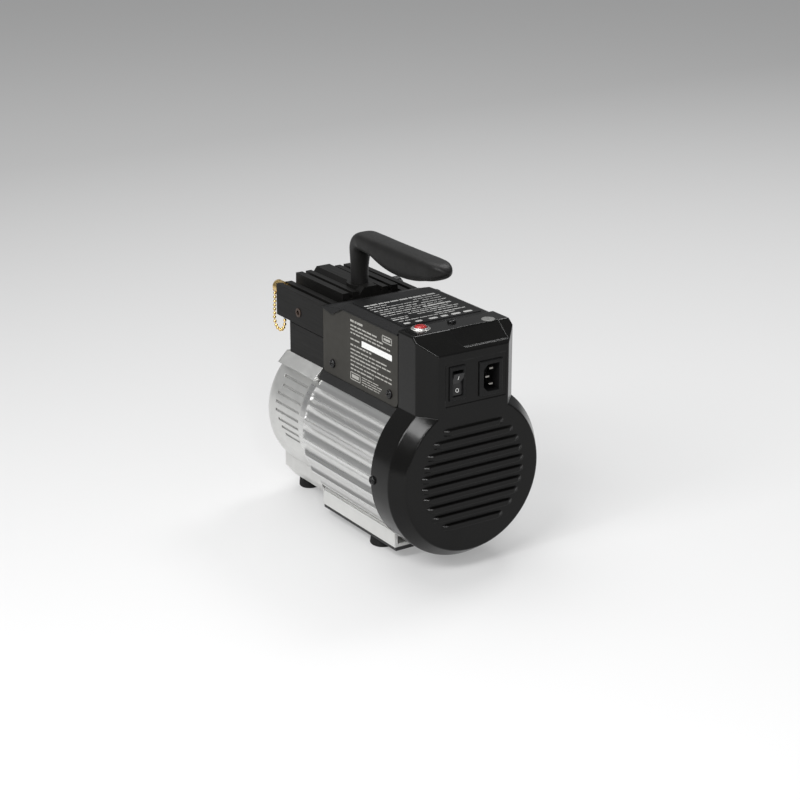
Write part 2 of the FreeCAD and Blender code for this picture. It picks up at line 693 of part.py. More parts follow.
def thumb_recess():
    """Shallow recess with a rounded lower corner, just under the sloping face."""
    x0, x1 = THUMB_X
    outline = prism_y([(x0, THUMB_Z0), (x1, THUMB_Z0), (x1, TOP_Z + 1), (x0, TOP_Z + 1)], -1, CHAMFER_LEN)
    outline = rounded(outline, THUMB_CORNER, lambda p: p.z < THUMB_Z0 + 0.1 and p.x < x0 + 0.1)
    low, high = (0, TOP_Z - CHAMFER_DROP), (CHAMFER_LEN, TOP_Z)
    slope = math.hypot(CHAMFER_LEN, CHAMFER_DROP)
    inward = (THUMB_DEPTH * CHAMFER_DROP / slope, -THUMB_DEPTH * CHAMFER_LEN / slope)
    corners = ((-1, low), (-1, high), (1, high), (1, low))
    slab = [(y + side * inward[0], z + side * inward[1]) for side, (y, z) in corners]
    return outline.common(prism_x(slab, x0 - 1, x1 + 1))


def rear_shroud():
    outer_box = rounded(shroud_box(0), SHROUD_EDGE_R,
                        lambda p: p.y < SHROUD_LEN - 1 and p.z > AXIS_Z + 1)
    outer_drum = rounded(shroud_drum(0), DRUM_EDGE_R, lambda p: p.y < DRUM_TAPER + 1)
    shell = joined([outer_box, outer_drum])
    hollow = joined([shroud_box(PLASTIC_WALL), shroud_drum(PLASTIC_WALL)])
    shell = shell.cut(hollow)
    shell = joined([shell] + [louver_hood(z, half) for z, half in louver_rows()])
    recess_x0 = SWITCH_X - SWITCH_BEZEL[0] / 2 - RECESS_MARGIN
    recess_x1 = INLET_X + INLET_BEZEL[0] / 2 + RECESS_MARGIN
    recess_half_h = INLET_BEZEL[1] / 2 + RECESS_MARGIN
    recess_z = (SWITCH_Z + INLET_Z) / 2
    cuts = [louver_slot(z, half) for z, half in louver_rows()] + [
        box(recess_x0, recess_x1, -1, RECESS_DEPTH, recess_z - recess_half_h, recess_z + recess_half_h),
        centred_block(SWITCH_BODY, SWITCH_X, SWITCH_Z, 0, PLASTIC_WALL + 1, SEAT_GAP / 2),
        centred_block(INLET_BODY, INLET_X, INLET_Z, 0, PLASTIC_WALL + 1, SEAT_GAP / 2),
        post(BUSHING_R + SCREW_GAP, TOP_Z - PLASTIC_WALL - 1, TOP_Z + 1, BREAKER_X, BREAKER_Y),
        post(PAN_SHANK_R + SCREW_GAP, TOP_Z - PLASTIC_WALL - 1, TOP_Z + 1, *LID_SCREW),
        thumb_recess(),
    ]
    side_hole = cross_bar(PAN_SHANK_R + SCREW_GAP, DRUM_R - PLASTIC_WALL - 1, DRUM_R + 1,
                          SHROUD_SCREW_Y, AXIS_Z)
    return shell.cut(cuts + both_sides(side_hole))


def centred_block(size, x, z, y0, y1, margin=0.0):
    """Block along Y with a given width and height about a point of the switch face."""
    half_w = size[0] / 2 + margin
    half_h = size[1] / 2 + margin
    return box(x - half_w, x + half_w, y0, y1, z - half_h, z + half_h)


# ---------------------------------------------------------------- switch, inlet and breaker
def switch_body():
    bezel = centred_block(SWITCH_BEZEL, SWITCH_X, SWITCH_Z, SWITCH_FACE_Y - BEZEL_T, SWITCH_FACE_Y)
    bezel = rounded(bezel, BEZEL_EDGE_R, lambda p: p.y < SWITCH_FACE_Y - BEZEL_T + 0.1)
    body = centred_block(SWITCH_BODY, SWITCH_X, SWITCH_Z, SWITCH_FACE_Y, SWITCH_DEPTH)
    pocket_w = ROCKER_W + 4 * SLIDE_GAP
    pocket = centred_block((pocket_w, 2 * rocker_sweep()), SWITCH_X, SWITCH_Z,
                           SWITCH_FACE_Y - BEZEL_T - 1, ROCKER_Y + rocker_sweep() / 2)
    pin_room = rocker_pin_half() + SEAT_GAP
    pins = cross_bar(ROCKER_PIN_R + RUN_GAP, SWITCH_X - pin_room, SWITCH_X + pin_room, ROCKER_Y, SWITCH_Z)
    width, length, thick = SPADE_TAB
    tabs = [box(SWITCH_X - width / 2, SWITCH_X + width / 2, SWITCH_DEPTH, SWITCH_DEPTH + length,
                z - thick / 2, z + thick / 2)
            for z in (SWITCH_Z - SWITCH_TAB_PITCH, SWITCH_Z, SWITCH_Z + SWITCH_TAB_PITCH)]
    return joined([bezel, body] + tabs).cut([pocket, pins])


def rocker_pin_half():
    """Half length of the rocker's pins, which stop inside the switch body's walls."""
    return (ROCKER_W / 2 + 2 * SLIDE_GAP + SWITCH_BODY[0] / 2) / 2


def rocker_sweep():
    """Room above the pivot for the rocker's ends as it tilts."""
    reach = math.hypot(ROCKER_WING, ROCKER_H / 2)
    angle = math.atan2(ROCKER_WING, ROCKER_H / 2) - math.radians(ROCKER_TILT / 2)
    return reach * math.cos(angle) + SEAT_GAP


def rocker():
    """Shallow V on two pins, shown with its lower end pressed in."""
    half = ROCKER_H / 2
    root = half - BEZEL_T
    outline = [(-ROCKER_WING, half), (-ROCKER_WAIST, 0), (-ROCKER_WING, -half), (0, -root),
               (ROCKER_WAIST, -ROCKER_HEEL), (ROCKER_WAIST, ROCKER_HEEL), (0, root)]
    points = [(ROCKER_Y + y, SWITCH_Z + z) for y, z in outline]
    body = prism_x(points, SWITCH_X - ROCKER_W / 2, SWITCH_X + ROCKER_W / 2)
    pin_half = rocker_pin_half()
    pins = cross_bar(ROCKER_PIN_R, SWITCH_X - pin_half, SWITCH_X + pin_half, ROCKER_Y, SWITCH_Z)
    shape = joined([body, pins])
    shape.rotate(Vector(SWITCH_X, ROCKER_Y, SWITCH_Z), Vector(1, 0, 0), ROCKER_TILT / 2)
    return shape


def inlet_mouth(y0, y1):
    """Upright socket opening with two corners cut on its left side."""
    w, h = INLET_MOUTH[0] / 2, INLET_MOUTH[1] / 2
    cut = INLET_MOUTH_BEVEL
    outline = [(-w + cut, -h), (w, -h), (w, h), (-w + cut, h), (-w, h - cut), (-w, -h + cut)]
    return prism_y([(INLET_X + x, INLET_Z + z) for x, z in outline], y0, y1)


def inlet_body():
    face = SWITCH_FACE_Y - BEZEL_T
    bezel = centred_block(INLET_BEZEL, INLET_X, INLET_Z, face, SWITCH_FACE_Y)
    bezel = rounded(bezel, BEZEL_EDGE_R, lambda p: p.y < face + 0.1)
    body = centred_block(INLET_BODY, INLET_X, INLET_Z, SWITCH_FACE_Y, INLET_DEPTH)
    mouth = inlet_mouth(face - 1, INLET_MOUTH_DEPTH)
    return joined([bezel, body]).cut([mouth] + [inlet_pin(x, z, SCREW_GAP / 4) for x, z in pin_places()])


def pin_places():
    return [(INLET_X + PIN_OFFSET, INLET_Z + PIN_SPACING), (INLET_X + PIN_OFFSET, INLET_Z - PIN_SPACING),
            (INLET_X - PIN_OFFSET, INLET_Z)]


def inlet_pin(x, z, margin=0.0):
    half_w, half_t = PIN_W / 2 + margin, PIN_T / 2 + margin
    return box(x - half_w, x + half_w, BEZEL_T, INLET_DEPTH + SPADE_TAB[1], z - half_t, z + half_t)


def inlet_pins():
    pins = [inlet_pin(x, z) for x, z in pin_places()]
    return group([rounded(pin, PIN_EDGE_R, lambda p: p.y < BEZEL_T + 0.1) for pin in pins])


def breaker_body():
    """Circuit breaker under the top wall, with a threaded bushing through it."""
    w, d, h = BREAKER_BODY
    z1 = TOP_Z - PLASTIC_WALL
    body = box(BREAKER_X - w / 2, BREAKER_X + w / 2, BREAKER_Y - d / 2, BREAKER_Y + d / 2, z1 - h, z1)
    bushing = post(BUSHING_R, z1 - 1, TOP_Z + RING_T, BREAKER_X, BREAKER_Y)
    bore = post(BUTTON_R + SLIDE_GAP, TOP_Z - BUTTON_DEPTH, TOP_Z + RING_T + 1, BREAKER_X, BREAKER_Y)
    width, length, thick = SPADE_TAB
    tabs = [box(x - thick / 2, x + thick / 2, BREAKER_Y - width / 2, BREAKER_Y + width / 2,
                z1 - h - length, z1 - h)
            for x in (BREAKER_X - BREAKER_TAB_PITCH / 2, BREAKER_X + BREAKER_TAB_PITCH / 2)]
    return joined([body, bushing] + tabs).cut(bore)


def breaker_nut():
    ring = post(RING_R, TOP_Z, TOP_Z + RING_T, BREAKER_X, BREAKER_Y)
    ring = rounded(ring, BEZEL_EDGE_R, lambda p: p.z > TOP_Z + RING_T - 0.1)
    return ring.cut(post(BUSHING_R + SLIDE_GAP, TOP_Z - 1, TOP_Z + RING_T + 1, BREAKER_X, BREAKER_Y))


def reset_button():
    z1 = TOP_Z + BUTTON_PROUD
    z0 = TOP_Z - BUTTON_DEPTH + BUTTON_TRAVEL + SEAT_GAP
    button = post(BUTTON_R, z0, z1, BREAKER_X, BREAKER_Y)
    return rounded(button, BUTTON_EDGE_R, lambda p: p.z > z1 - 0.1)


def pan_screw(point, direction):
    """Round-head screw; the point is where its head meets the surface."""
    head = Part.makeCylinder(PAN_HEAD_R, PAN_HEAD_H, point, direction)
    tip = point + direction * (PAN_HEAD_H - 0.1)
    head = rounded(head, PAN_HEAD_H * 0.7, lambda p: (p - tip).dot(direction) > 0)
    slots = []
    width, length, depth = PAN_SLOT
    onto_surface = FreeCAD.Placement(point, FreeCAD.Rotation(Vector(0, 0, 1), direction))
    for turn in (0, 90):
        slot = Part.makeBox(width, length, depth + 1, Vector(-width / 2, -length / 2, PAN_HEAD_H - depth))
        slot.rotate(Vector(0, 0, 0), Vector(0, 0, 1), turn + PAN_SLOT_TURN)
        slot.Placement = onto_surface * slot.Placement
        slots.append(slot)
    shank = Part.makeCylinder(PAN_SHANK_R, PAN_LEN, point - direction * PAN_LEN, direction)
    return joined([head.cut(slots), shank])


def panel_screw_places():
    return [(BOX_Y0 + dy, PANEL_Z0 + dz) for dy, dz in PANEL_SCREWS]


def cover_screws():
    """Lid screw, one screw each side of the fan cover, and two in each side panel."""
    screws = [pan_screw(Vector(LID_SCREW[0], LID_SCREW[1], TOP_Z), Vector(0, 0, 1))]
    screws += both_sides(pan_screw(Vector(-DRUM_R, SHROUD_SCREW_Y, AXIS_Z), Vector(-1, 0, 0)))
    for y, z in panel_screw_places():
        screws += both_sides(pan_screw(Vector(-BOX_HALF_W, y, z), Vector(-1, 0, 0)))
    return group(screws)


# ---------------------------------------------------------------- motor housing and base
def groove_cutters(y0):
    """Round-bottomed troughs between the cooling ribs, each climbing to the flange at its end."""
    trough_r = (GROOVE_HALF_W ** 2 + GROOVE_DEPTH ** 2) / (2 * GROOVE_DEPTH)
    centre_r = HOUSING_R - GROOVE_DEPTH + trough_r
    end = MOTOR_Y1 - GROOVE_END_GAP
    climb = math.hypot(GROOVE_RAMP, GROOVE_DEPTH)
    cutters = []
    for i in range(GROOVE_COUNT):
        degrees = RIB_TOP_DEG - RIB_PITCH_DEG * (i + 0.5)
        x, z = polar(centre_r, degrees)
        out_x, out_z = polar(GROOVE_DEPTH, degrees)
        slope = Vector(out_x, GROOVE_RAMP, out_z - AXIS_Z)
        start = Vector(x, end, z)
        bar = rod(trough_r, y0, end, x, z)
        ramp = Part.makeCylinder(trough_r, climb, start, slope)
        cutters += both_sides(bar.multiFuse([Part.makeSphere(trough_r, start), ramp]))
    return cutters


def motor_housing():
    taper_y0 = MOTOR_Y1 - FLANGE_LEN - FLANGE_TAPER
    taper_y1 = MOTOR_Y1 - FLANGE_LEN
    barrel = joined([rod(HOUSING_R, MOTOR_Y0, taper_y0), cone(HOUSING_R, FLANGE_R, taper_y0, taper_y1),
                     rod(FLANGE_R, taper_y1, MOTOR_Y1)])
    bore_end = FRONT_BELL_Y0 + BELL_WEB_T
    bore = rod(HOUSING_BORE_R, MOTOR_Y0 - 1, bore_end)
    front = rod(FRONT_BORE_R, bore_end - 1, MOTOR_Y1 + 1)
    return barrel.cut([bore, front] + groove_cutters(MOTOR_Y0 - 1))


def housing_seat():
    """Room for the motor housing and its taper inside the pieces that lie on it."""
    taper_y0 = MOTOR_Y1 - FLANGE_LEN - FLANGE_TAPER
    taper_y1 = MOTOR_Y1 - FLANGE_LEN
    return joined([rod(HOUSING_R + SEAT_GAP, 0, taper_y0),
                   cone(HOUSING_R + SEAT_GAP, FLANGE_R + SEAT_GAP, taper_y0, taper_y1),
                   rod(FLANGE_R + SEAT_GAP, taper_y1, MOTOR_Y1 + SEAT_GAP)])


def base_rail():
    """Two cast rails that carry the motor housing; they leave the middle open."""
    seat = rod(HOUSING_R + SEAT_GAP, 0, MOTOR_Y1)
    y0, y1 = BASE_Y0, BASE_Y0 + BASE_LEN
    top = below_cylinder(HOUSING_R, RAIL_HALF_W)
    outline = [(y0, BASE_Z0), (y1, BASE_Z0), (y1, top), (y0 + RAIL_SLANT_LEN, top),
               (y0, top - RAIL_SLANT_DROP)]
    outer = prism_x(outline, RAIL_SLOT_HALF_W, RAIL_HALF_W)
    inner = box(0, RAIL_HALF_W - RAIL_WALL, y0 - 1, y1 - RAIL_WALL, BASE_Z0 + RAIL_WALL, AXIS_Z)
    end_wall = box(RAIL_SLOT_HALF_W, RAIL_HALF_W, y1 - RAIL_WALL, y1, BASE_Z0, top).cut(seat)
    rail = joined([outer.cut([inner, seat]), end_wall])
    step = box(RAIL_HALF_W - RAIL_STEP_T, RAIL_HALF_W + 1, y0 - 1, y1 + 1, top - RAIL_STEP_H, AXIS_Z)
    return group(both_sides(rail.cut(step)))


def foot_stem_hole(x, y, z0):
    return post(STEM_R + SLIDE_GAP, z0 - 1, z0 + STEM_LEN + SEAT_GAP, x, y)


def base_plate():
    plate = box(-BASE_PLATE_HALF_W, BASE_PLATE_HALF_W, BASE_Y0, BASE_Y0 + BASE_LEN, FOOT_H, BASE_Z0)
    x, y = NEAR_FOOT
    return plate.cut(both_sides(foot_stem_hole(x, y, FOOT_H)))


def rubber_feet():
    """Four push-in feet, each with a stem in the plate or casting above it."""
    near_stem = min(STEM_LEN, BASE_PLATE_T - SLIDE_GAP)
    feet = []
    for place, low_r, top_r, height, stem in ((NEAR_FOOT, FOOT_R, FOOT_TOP_R, FOOT_H, near_stem),
                                              (FAR_FOOT, FAR_FOOT_R, FAR_FOOT_TOP_R, FAR_FOOT_H, STEM_LEN)):
        x, y = place
        pad = Part.makeCone(low_r, top_r, height, Vector(x, y, 0), Vector(0, 0, 1))
        pad = rounded(pad, FOOT_EDGE_R, lambda p: p.z < 0.1)
        feet += both_sides(joined([pad, post(STEM_R, height - 1, height + stem, x, y)]))
    return group(feet)


# ---------------------------------------------------------------- electrical box
def tray_floor_z(x):
    return on_cylinder(HOUSING_R + SEAT_GAP + TRAY_FLOOR_T, x)


def lid_underside(side_z=PANEL_Z1, flat_z=LID_Z0):
    """X and Z along the seam between the lid and the box's end walls."""
    half = BOX_HALF_W - PANEL_T
    flat = LID_FLAT_HALF_W - LID_T
    return [(half, side_z), (flat, flat_z), (-flat, flat_z), (-half, side_z)]


def electrical_box():
    """Saddle on the motor housing with two end walls and screw bosses; the sides are panels."""
    half = BOX_HALF_W - PANEL_T
    low = on_cylinder(HOUSING_R + SEAT_GAP, half)
    block = prism_y([(-half, low), (half, low)] + lid_underside(), BOX_Y0, BOX_Y1)
    block = block.cut(rod(HOUSING_R + SEAT_GAP, 0, BLOCK_Y1))
    hollow = box(-half, half, BOX_Y0 + TRAY_WALL, BOX_Y1 - TRAY_WALL, 0, LID_Z0 + 1)
    floor_top = rod(HOUSING_R + SEAT_GAP + TRAY_FLOOR_T, 0, BLOCK_Y1)
    tray = block.cut(hollow.cut(floor_top))
    bosses = []
    for y, z in panel_screw_places():
        reach = SCREW_BOSS / 2
        boss = box(half - PAN_LEN, half, y - reach, y + reach, low, z + reach)
        bosses += both_sides(boss.cut(rod(HOUSING_R + SEAT_GAP, 0, BLOCK_Y1)))
    tray = joined([tray] + bosses)
    holes = []
    for y, z in panel_screw_places():
        holes += both_sides(cross_bar(PAN_SHANK_R, half - PAN_LEN, half + 1, y, z))
    over = PANEL_Z1 + LID_T + RAMP_DROP
    near = lid_underside() + [(-half, over), (half, over)]
    far = lid_underside(PANEL_REAR_Z, RAMP_END_Z - LID_T) + [(-half, over), (half, over)]
    tray = tray.cut(ramp_y(near, RAMP_Y0, far, BOX_Y1))
    window_half = SHROUD_HALF_W - WINDOW_SIDE
    window = box(-window_half, window_half, BOX_Y0 - 1, BOX_Y0 + TRAY_WALL + 1,
                 AXIS_Z + HOUSING_R + TRAY_FLOOR_T + WINDOW_EDGE, LID_Z0 - WINDOW_EDGE)
    return tray.cut(holes + [window])


def side_panel():
    y0, y1 = BOX_Y0, BOX_Y1
    plate = box(BOX_HALF_W - PANEL_T, BOX_HALF_W, y0, y1, PANEL_Z0, PANEL_Z1)
    plate = rounded(plate, PANEL_CORNER_R,
                    lambda p: p.y < y0 + 0.1 and p.z < PANEL_Z0 + 0.1)
    holes = [cross_bar(PAN_SHANK_R + SCREW_GAP, BOX_HALF_W - PANEL_T - 1, BOX_HALF_W + 1, y, z)
             for y, z in panel_screw_places()]
    ramp = prism_x([(RAMP_Y0, PANEL_Z1), (y1, PANEL_REAR_Z), (y1 + 1, PANEL_REAR_Z),
                    (y1 + 1, PANEL_Z1 + 1), (RAMP_Y0, PANEL_Z1 + 1)],
                   BOX_HALF_W - PANEL_T - 1, BOX_HALF_W + 1)
    return plate.cut(holes + [ramp])


def side_panels():
    return group(both_sides(side_panel()))


def box_gasket():
    """Black strip along the foot of each panel, spreading down on to the housing."""
    half = BOX_HALF_W - PANEL_T
    foot_x = BOX_HALF_W + STRIP_FOOT_OUT
    foot_z = on_cylinder(HOUSING_R + SEAT_GAP, foot_x)
    strip = prism_y([(half, AXIS_Z), (foot_x, AXIS_Z), (foot_x, foot_z + STRIP_EDGE),
                     (BOX_HALF_W + STRIP_T / 2, PANEL_Z0), (half, PANEL_Z0)], BOX_Y0, BOX_Y1)
    return group(both_sides(strip.cut(rod(HOUSING_R + SEAT_GAP, 0, BLOCK_Y1))))


def lid_section(foot_z, side_z, flat_z, under_z):
    """Outline of the lid across the pump, from its right foot over the top and back underneath."""
    over = [(LID_HALF_W, foot_z), (LID_HALF_W, side_z), (LID_FLAT_HALF_W, flat_z)]
    return over + [(-x, z) for x, z in reversed(over)] + lid_underside(foot_z, under_z)[::-1]


def top_cover():
    """Lid over the box: a flat with a raised field, a slope down to the block, two drooping ears."""
    level = lid_section(PANEL_Z1, LID_SIDE_Z, TOP_Z, LID_Z0)
    rear = lid_section(PANEL_REAR_Z, RAMP_END_Z, RAMP_END_Z + RAMP_CROWN, RAMP_END_Z - LID_T)
    lid = prism_y(level, BOX_Y0, RAMP_Y0)
    slope = ramp_y(level, RAMP_Y0, rear, BOX_Y1)
    plateau_y = BOX_Y0 + PLATEAU_START
    plateau = box(-PLATEAU_HALF_W, PLATEAU_HALF_W, plateau_y, plateau_y + PLATEAU_LEN,
                  TOP_Z - 1, TOP_Z + PLATEAU_T)
    plateau = rounded(plateau, PLATEAU_CORNER_R, lambda p: abs(p.z - TOP_Z) < PLATEAU_T / 2)
    y1 = BOX_Y1
    low_z = LID_SIDE_Z - EAR_DROP
    ear = prism_x([(y1 - EAR_LEN, LID_SIDE_Z), (y1 - EAR_LEN * EAR_LOW, low_z),
                   (y1 - EAR_LEN * EAR_RISE, (low_z + RAMP_END_Z) / 2), (y1, RAMP_END_Z),
                   (RAMP_Y0, LID_SIDE_Z)],
                  BOX_HALF_W, BOX_HALF_W + EAR_T)
    return joined([lid, slope, plateau] + both_sides(ear))


def run_capacitor():
    reach = HOUSING_R + SEAT_GAP + TRAY_FLOOR_T + SEAT_GAP + CAPACITOR_R
    z = on_cylinder(reach, CAPACITOR_X)
    y0 = BOX_Y0 + CAPACITOR_START
    can = rod(CAPACITOR_R, y0, y0 + CAPACITOR_LEN, CAPACITOR_X, z)
    can = rounded(can, CAPACITOR_EDGE_R, lambda p: True)
    width, length, thick = SPADE_TAB
    tabs = [box(CAPACITOR_X - width / 2, CAPACITOR_X + width / 2, y0 - length, y0 + 1,
                z + rise - thick / 2, z + rise + thick / 2)
            for rise in (-CAPACITOR_TAB_PITCH / 2, CAPACITOR_TAB_PITCH / 2)]
    return joined([can] + tabs)


def terminal_block():
    w, d, h = TERMINAL
    y0 = BOX_Y0 + TERMINAL_START
    z0 = tray_floor_z(TERMINAL_X1)
    block = box(TERMINAL_X1 - w, TERMINAL_X1, y0, y0 + d, z0, z0 + h)
    ways = [post(TERMINAL_WAY_R, z0 + h - TERMINAL_WAY_DEPTH, z0 + h + 1, TERMINAL_X1 - w * side,
                 y0 + d * (i + 0.5) / TERMINAL_WAYS)
            for i in range(TERMINAL_WAYS) for side in TERMINAL_ROWS]
    return block.cut(ways)


# ---------------------------------------------------------------- intake block, valve block, handle
def intake_block():
    """Finned block: four fins a side, a flat middle rib, and a round boss for the handle."""
    half = [(BLOCK_HALF_W, BLOCK_Z0)]
    inwards = [x + FIN_DRAFT for x in FIN_OUTER[1:]] + [CENTRE_RIB_FOOT]
    for inner, outer, top_drop, floor_drop, inward in zip(FIN_INNER, FIN_OUTER, FIN_TOP_DROP,
                                                          FIN_FLOOR_DROP, inwards):
        half += [(outer, TOP_Z - top_drop), (inner, TOP_Z - top_drop),
                 (inner - FIN_DRAFT, TOP_Z - floor_drop), (inward, TOP_Z - floor_drop)]
    half.append((CENTRE_RIB_HALF, TOP_Z))
    outline = half + [(-x, z) for x, z in reversed(half)]
    block = prism_y(outline, BLOCK_Y0, BLOCK_Y1)
    boss = post(BOSS_R, BLOCK_Z0, TOP_Z, 0, HANDLE_Y)
    block = joined([block, boss.common(box(-BOSS_R, BOSS_R, BLOCK_Y0, BLOCK_Y1, 0, TOP_Z))])
    thread_end = TOP_Z - HANDLE_THREAD_LEN
    cuts = [
        post(HANDLE_CORE_R, thread_end, TOP_Z + 1, 0, HANDLE_Y),
        rod(PORT_THREAD_R, BLOCK_Y1 - PORT_THREAD_LEN, BLOCK_Y1 + 1, PORT_X, PORT_Z),
        cross_bar(PLUG_R, -BLOCK_HALF_W - 1, -BLOCK_HALF_W + PLUG_LEN, PLUG_Y, PLUG_Z),
        cross_bar(BALLAST_R, BLOCK_HALF_W - PLUG_LEN, BLOCK_HALF_W + 1, BALLAST_Y, BALLAST_Z),
        post(EYE_R / 2, BLOCK_Z0 - 1, BLOCK_Z0 + EYE_LEN + SEAT_GAP, CHAIN_X, CHAIN_ANCHOR_Y),
    ]
    return block.cut(cuts)


def valve_block():
    """Block between the oil casing's flange and the intake block, with a line around its top."""
    half = BLOCK_HALF_W - VALVE_STEP
    y1 = BLOCK_Y0 + VALVE_BLOCK_LEN
    block = box(-half, half, BLOCK_Y0, y1, SHOULDER_TOP_Z, BLOCK_Z0)
    block = rounded(block, VALVE_EDGE_R, lambda p: p.y > y1 - 0.1 and abs(abs(p.x) - half) < 0.1)
    step = box(-half - 1, half + 1, BLOCK_Y0 - 1, y1 + 1, BLOCK_Z0 - VALVE_GROOVE * 2, BLOCK_Z0)
    inner = half - VALVE_GROOVE
    line = step.cut(box(-inner, inner, BLOCK_Y0, y1 - VALVE_GROOVE, AXIS_Z, TOP_Z))
    saddles = [rod(HOUSING_R + SEAT_GAP, 0, CASING_Y0), rod(CASING_R + SEAT_GAP, 0, CASING_Y1)]
    return block.cut([line] + saddles)


def side_plug():
    x0 = -BLOCK_HALF_W - PLUG_PROUD
    plug = cross_bar(PLUG_R, x0, -BLOCK_HALF_W + PLUG_LEN - SEAT_GAP, PLUG_Y, PLUG_Z)
    return plug.cut(cross_bar(PLUG_SOCKET_R, x0 - 1, x0 + PLUG_SOCKET_DEPTH, PLUG_Y, PLUG_Z))


def handle_core():
    """Steel tube from its thread in the boss, round the bend and along the grip."""
    z0 = TOP_Z - HANDLE_THREAD_LEN
    bend_z = HANDLE_CORE_Z - HANDLE_CORE_BEND
    bend_y = HANDLE_Y - HANDLE_CORE_BEND
    up = Part.LineSegment(Vector(0, HANDLE_Y, z0), Vector(0, HANDLE_Y, bend_z))
    corner = HANDLE_CORE_BEND * math.sqrt(0.5)
    bend = Part.Arc(Vector(0, HANDLE_Y, bend_z), Vector(0, bend_y + corner, bend_z + corner),
                    Vector(0, bend_y, HANDLE_CORE_Z))
    along = Part.LineSegment(Vector(0, bend_y, HANDLE_CORE_Z),
                             Vector(0, HANDLE_NOSE_Y + 2 * HANDLE_CORE_R, HANDLE_CORE_Z))
    path = Part.Wire([up.toShape(), bend.toShape(), along.toShape()])
    section = Part.Wire(Part.makeCircle(HANDLE_CORE_R, Vector(0, HANDLE_Y, z0), Vector(0, 0, 1)))
    return path.makePipeShell([section], True, True)


def grip_section(y, z, degrees, half_t, half_w):
    """Rounded oblong across the grip's line, which climbs at an angle in the YZ plane."""
    angle = math.radians(degrees)
    inward = Vector(0, -math.sin(angle), math.cos(angle))
    sideways = Vector(1, 0, 0)
    centre = Vector(0, y, z)
    r_top = min(GRIP_TOP_R, GRIP_ROUND * min(half_t, half_w))
    r_low = min(GRIP_LOW_R, GRIP_ROUND * min(half_t, half_w))
    diagonal = math.sqrt(0.5)
    edges, points = [], []
    for su, sv, r in ((1, -1, r_top), (1, 1, r_low), (-1, 1, r_low), (-1, -1, r_top)):
        mid = centre + sideways * (su * (half_w - r)) + inward * (sv * (half_t - r))
        along_side = mid + sideways * (su * r)
        along_end = mid + inward * (sv * r)
        corner = mid + sideways * (su * r * diagonal) + inward * (sv * r * diagonal)
        first, last = (along_end, along_side) if su * sv < 0 else (along_side, along_end)
        points.append((first, corner, last))
    for (first, corner, last), following in zip(points, points[1:] + points[:1]):
        edges.append(Part.Arc(first, corner, last).toShape())
        edges.append(Part.LineSegment(last, following[0]).toShape())
    return Part.Wire(edges)


def grip_stations():
    """Centre, climb, half thickness and half width from the start of the bend to the nose."""
    bend_y = HANDLE_BACK_Y - HANDLE_BACK_R
    bend_z = HANDLE_TOP_Z - HANDLE_BACK_R
    throat = HANDLE_BACK_R - GRIP_THROAT_R
    half = throat / 2
    stations = []
    for step in range(GRIP_BEND_STEPS + 1):
        turn = 90 * step / GRIP_BEND_STEPS
        out = math.radians(turn)
        reach = HANDLE_BACK_R - half
        width = STEM_HALF_W + (HANDLE_HALF_W - STEM_HALF_W) * (step + 1) / (GRIP_BEND_STEPS + 2)
        y, z = bend_y + reach * math.cos(out), bend_z + reach * math.sin(out)
        stations.append((y, z, 90 + turn, half, width))
    length = bend_y - HANDLE_NOSE_Y
    for share, depth in GRIP_ARM:
        z = HANDLE_TOP_Z - depth / 2
        stations.append((bend_y - share * length, z, 180, depth / 2, HANDLE_HALF_W))
    for back, fall, depth, half_w in GRIP_NOSE:
        z = HANDLE_TOP_Z - fall - depth / 2
        stations.append((HANDLE_NOSE_Y + back, z, 180, depth / 2, half_w))
    return stations


def handle_grip():
    """Rubber grip: a stem, a tight bend and a deep round-nosed arm over the lid."""
    sections = [grip_section(*station) for station in grip_stations()]
    foot = grip_section(HANDLE_Y, TOP_Z, 90, STEM_HALF_W, STEM_HALF_W)
    return Part.makeLoft([foot] + sections, True, True).cut(handle_core())


# ---------------------------------------------------------------- intake port, cap and chain
def flare_fitting():
    hex_part = hexagon(PORT_HEX_AF, BLOCK_Y1, PORT_Y1, PORT_X, PORT_Z)
    thread = rod(PORT_THREAD_R, BLOCK_Y1 - PORT_THREAD_LEN + SEAT_GAP, BLOCK_Y1, PORT_X, PORT_Z)
    nose = rod(PORT_NOSE_R, PORT_Y1, PORT_Y1 + PORT_NOSE_LEN, PORT_X, PORT_Z)
    nose = rounded(nose, SMALL_EDGE_R, lambda p: p.y > PORT_Y1 + PORT_NOSE_LEN - 0.1)
    bore = rod(PORT_BORE_R, BLOCK_Y1 - PORT_THREAD_LEN, PORT_Y1 + PORT_NOSE_LEN + 1, PORT_X, PORT_Z)
    return joined([hex_part, thread, nose]).cut(bore)


def fluted(shape, radius, y0, y1, x, z):
    """Grip flutes round a knob along Y."""
    flutes = []
    for i in range(KNOB_FLUTES):
        angle = 2 * math.pi * i / KNOB_FLUTES
        reach = radius + KNOB_FLUTE_OUT
        flutes.append(rod(KNOB_FLUTE_R, y0, y1, x + reach * math.cos(angle), z + reach * math.sin(angle)))
    return shape.cut(flutes)


def flare_cap():
    """Knurled brass cap with the small tag that its chain hangs from."""
    cap = rod(CAP_R, CAP_Y0, CAP_Y1, PORT_X, PORT_Z)
    cap = rounded(cap, SMALL_EDGE_R, lambda p: p.y > CAP_Y1 - 0.1)
    cap = cap.cut(rod(PORT_NOSE_R + SLIDE_GAP, CAP_Y0 - 1, CAP_Y1 - CAP_END_T, PORT_X, PORT_Z))
    half = TAG_HALF_W
    tag = prism_y([(PORT_X + half, PORT_Z), (PORT_X, PORT_Z + half), (CHAIN_X - half, CHAIN_TOP_Z + half),
                   (CHAIN_X, CHAIN_TOP_Z), (CHAIN_X + half, CHAIN_TOP_Z)], CAP_Y1 - 0.1, CAP_Y1 + TAG_T)
    return joined([cap, tag])


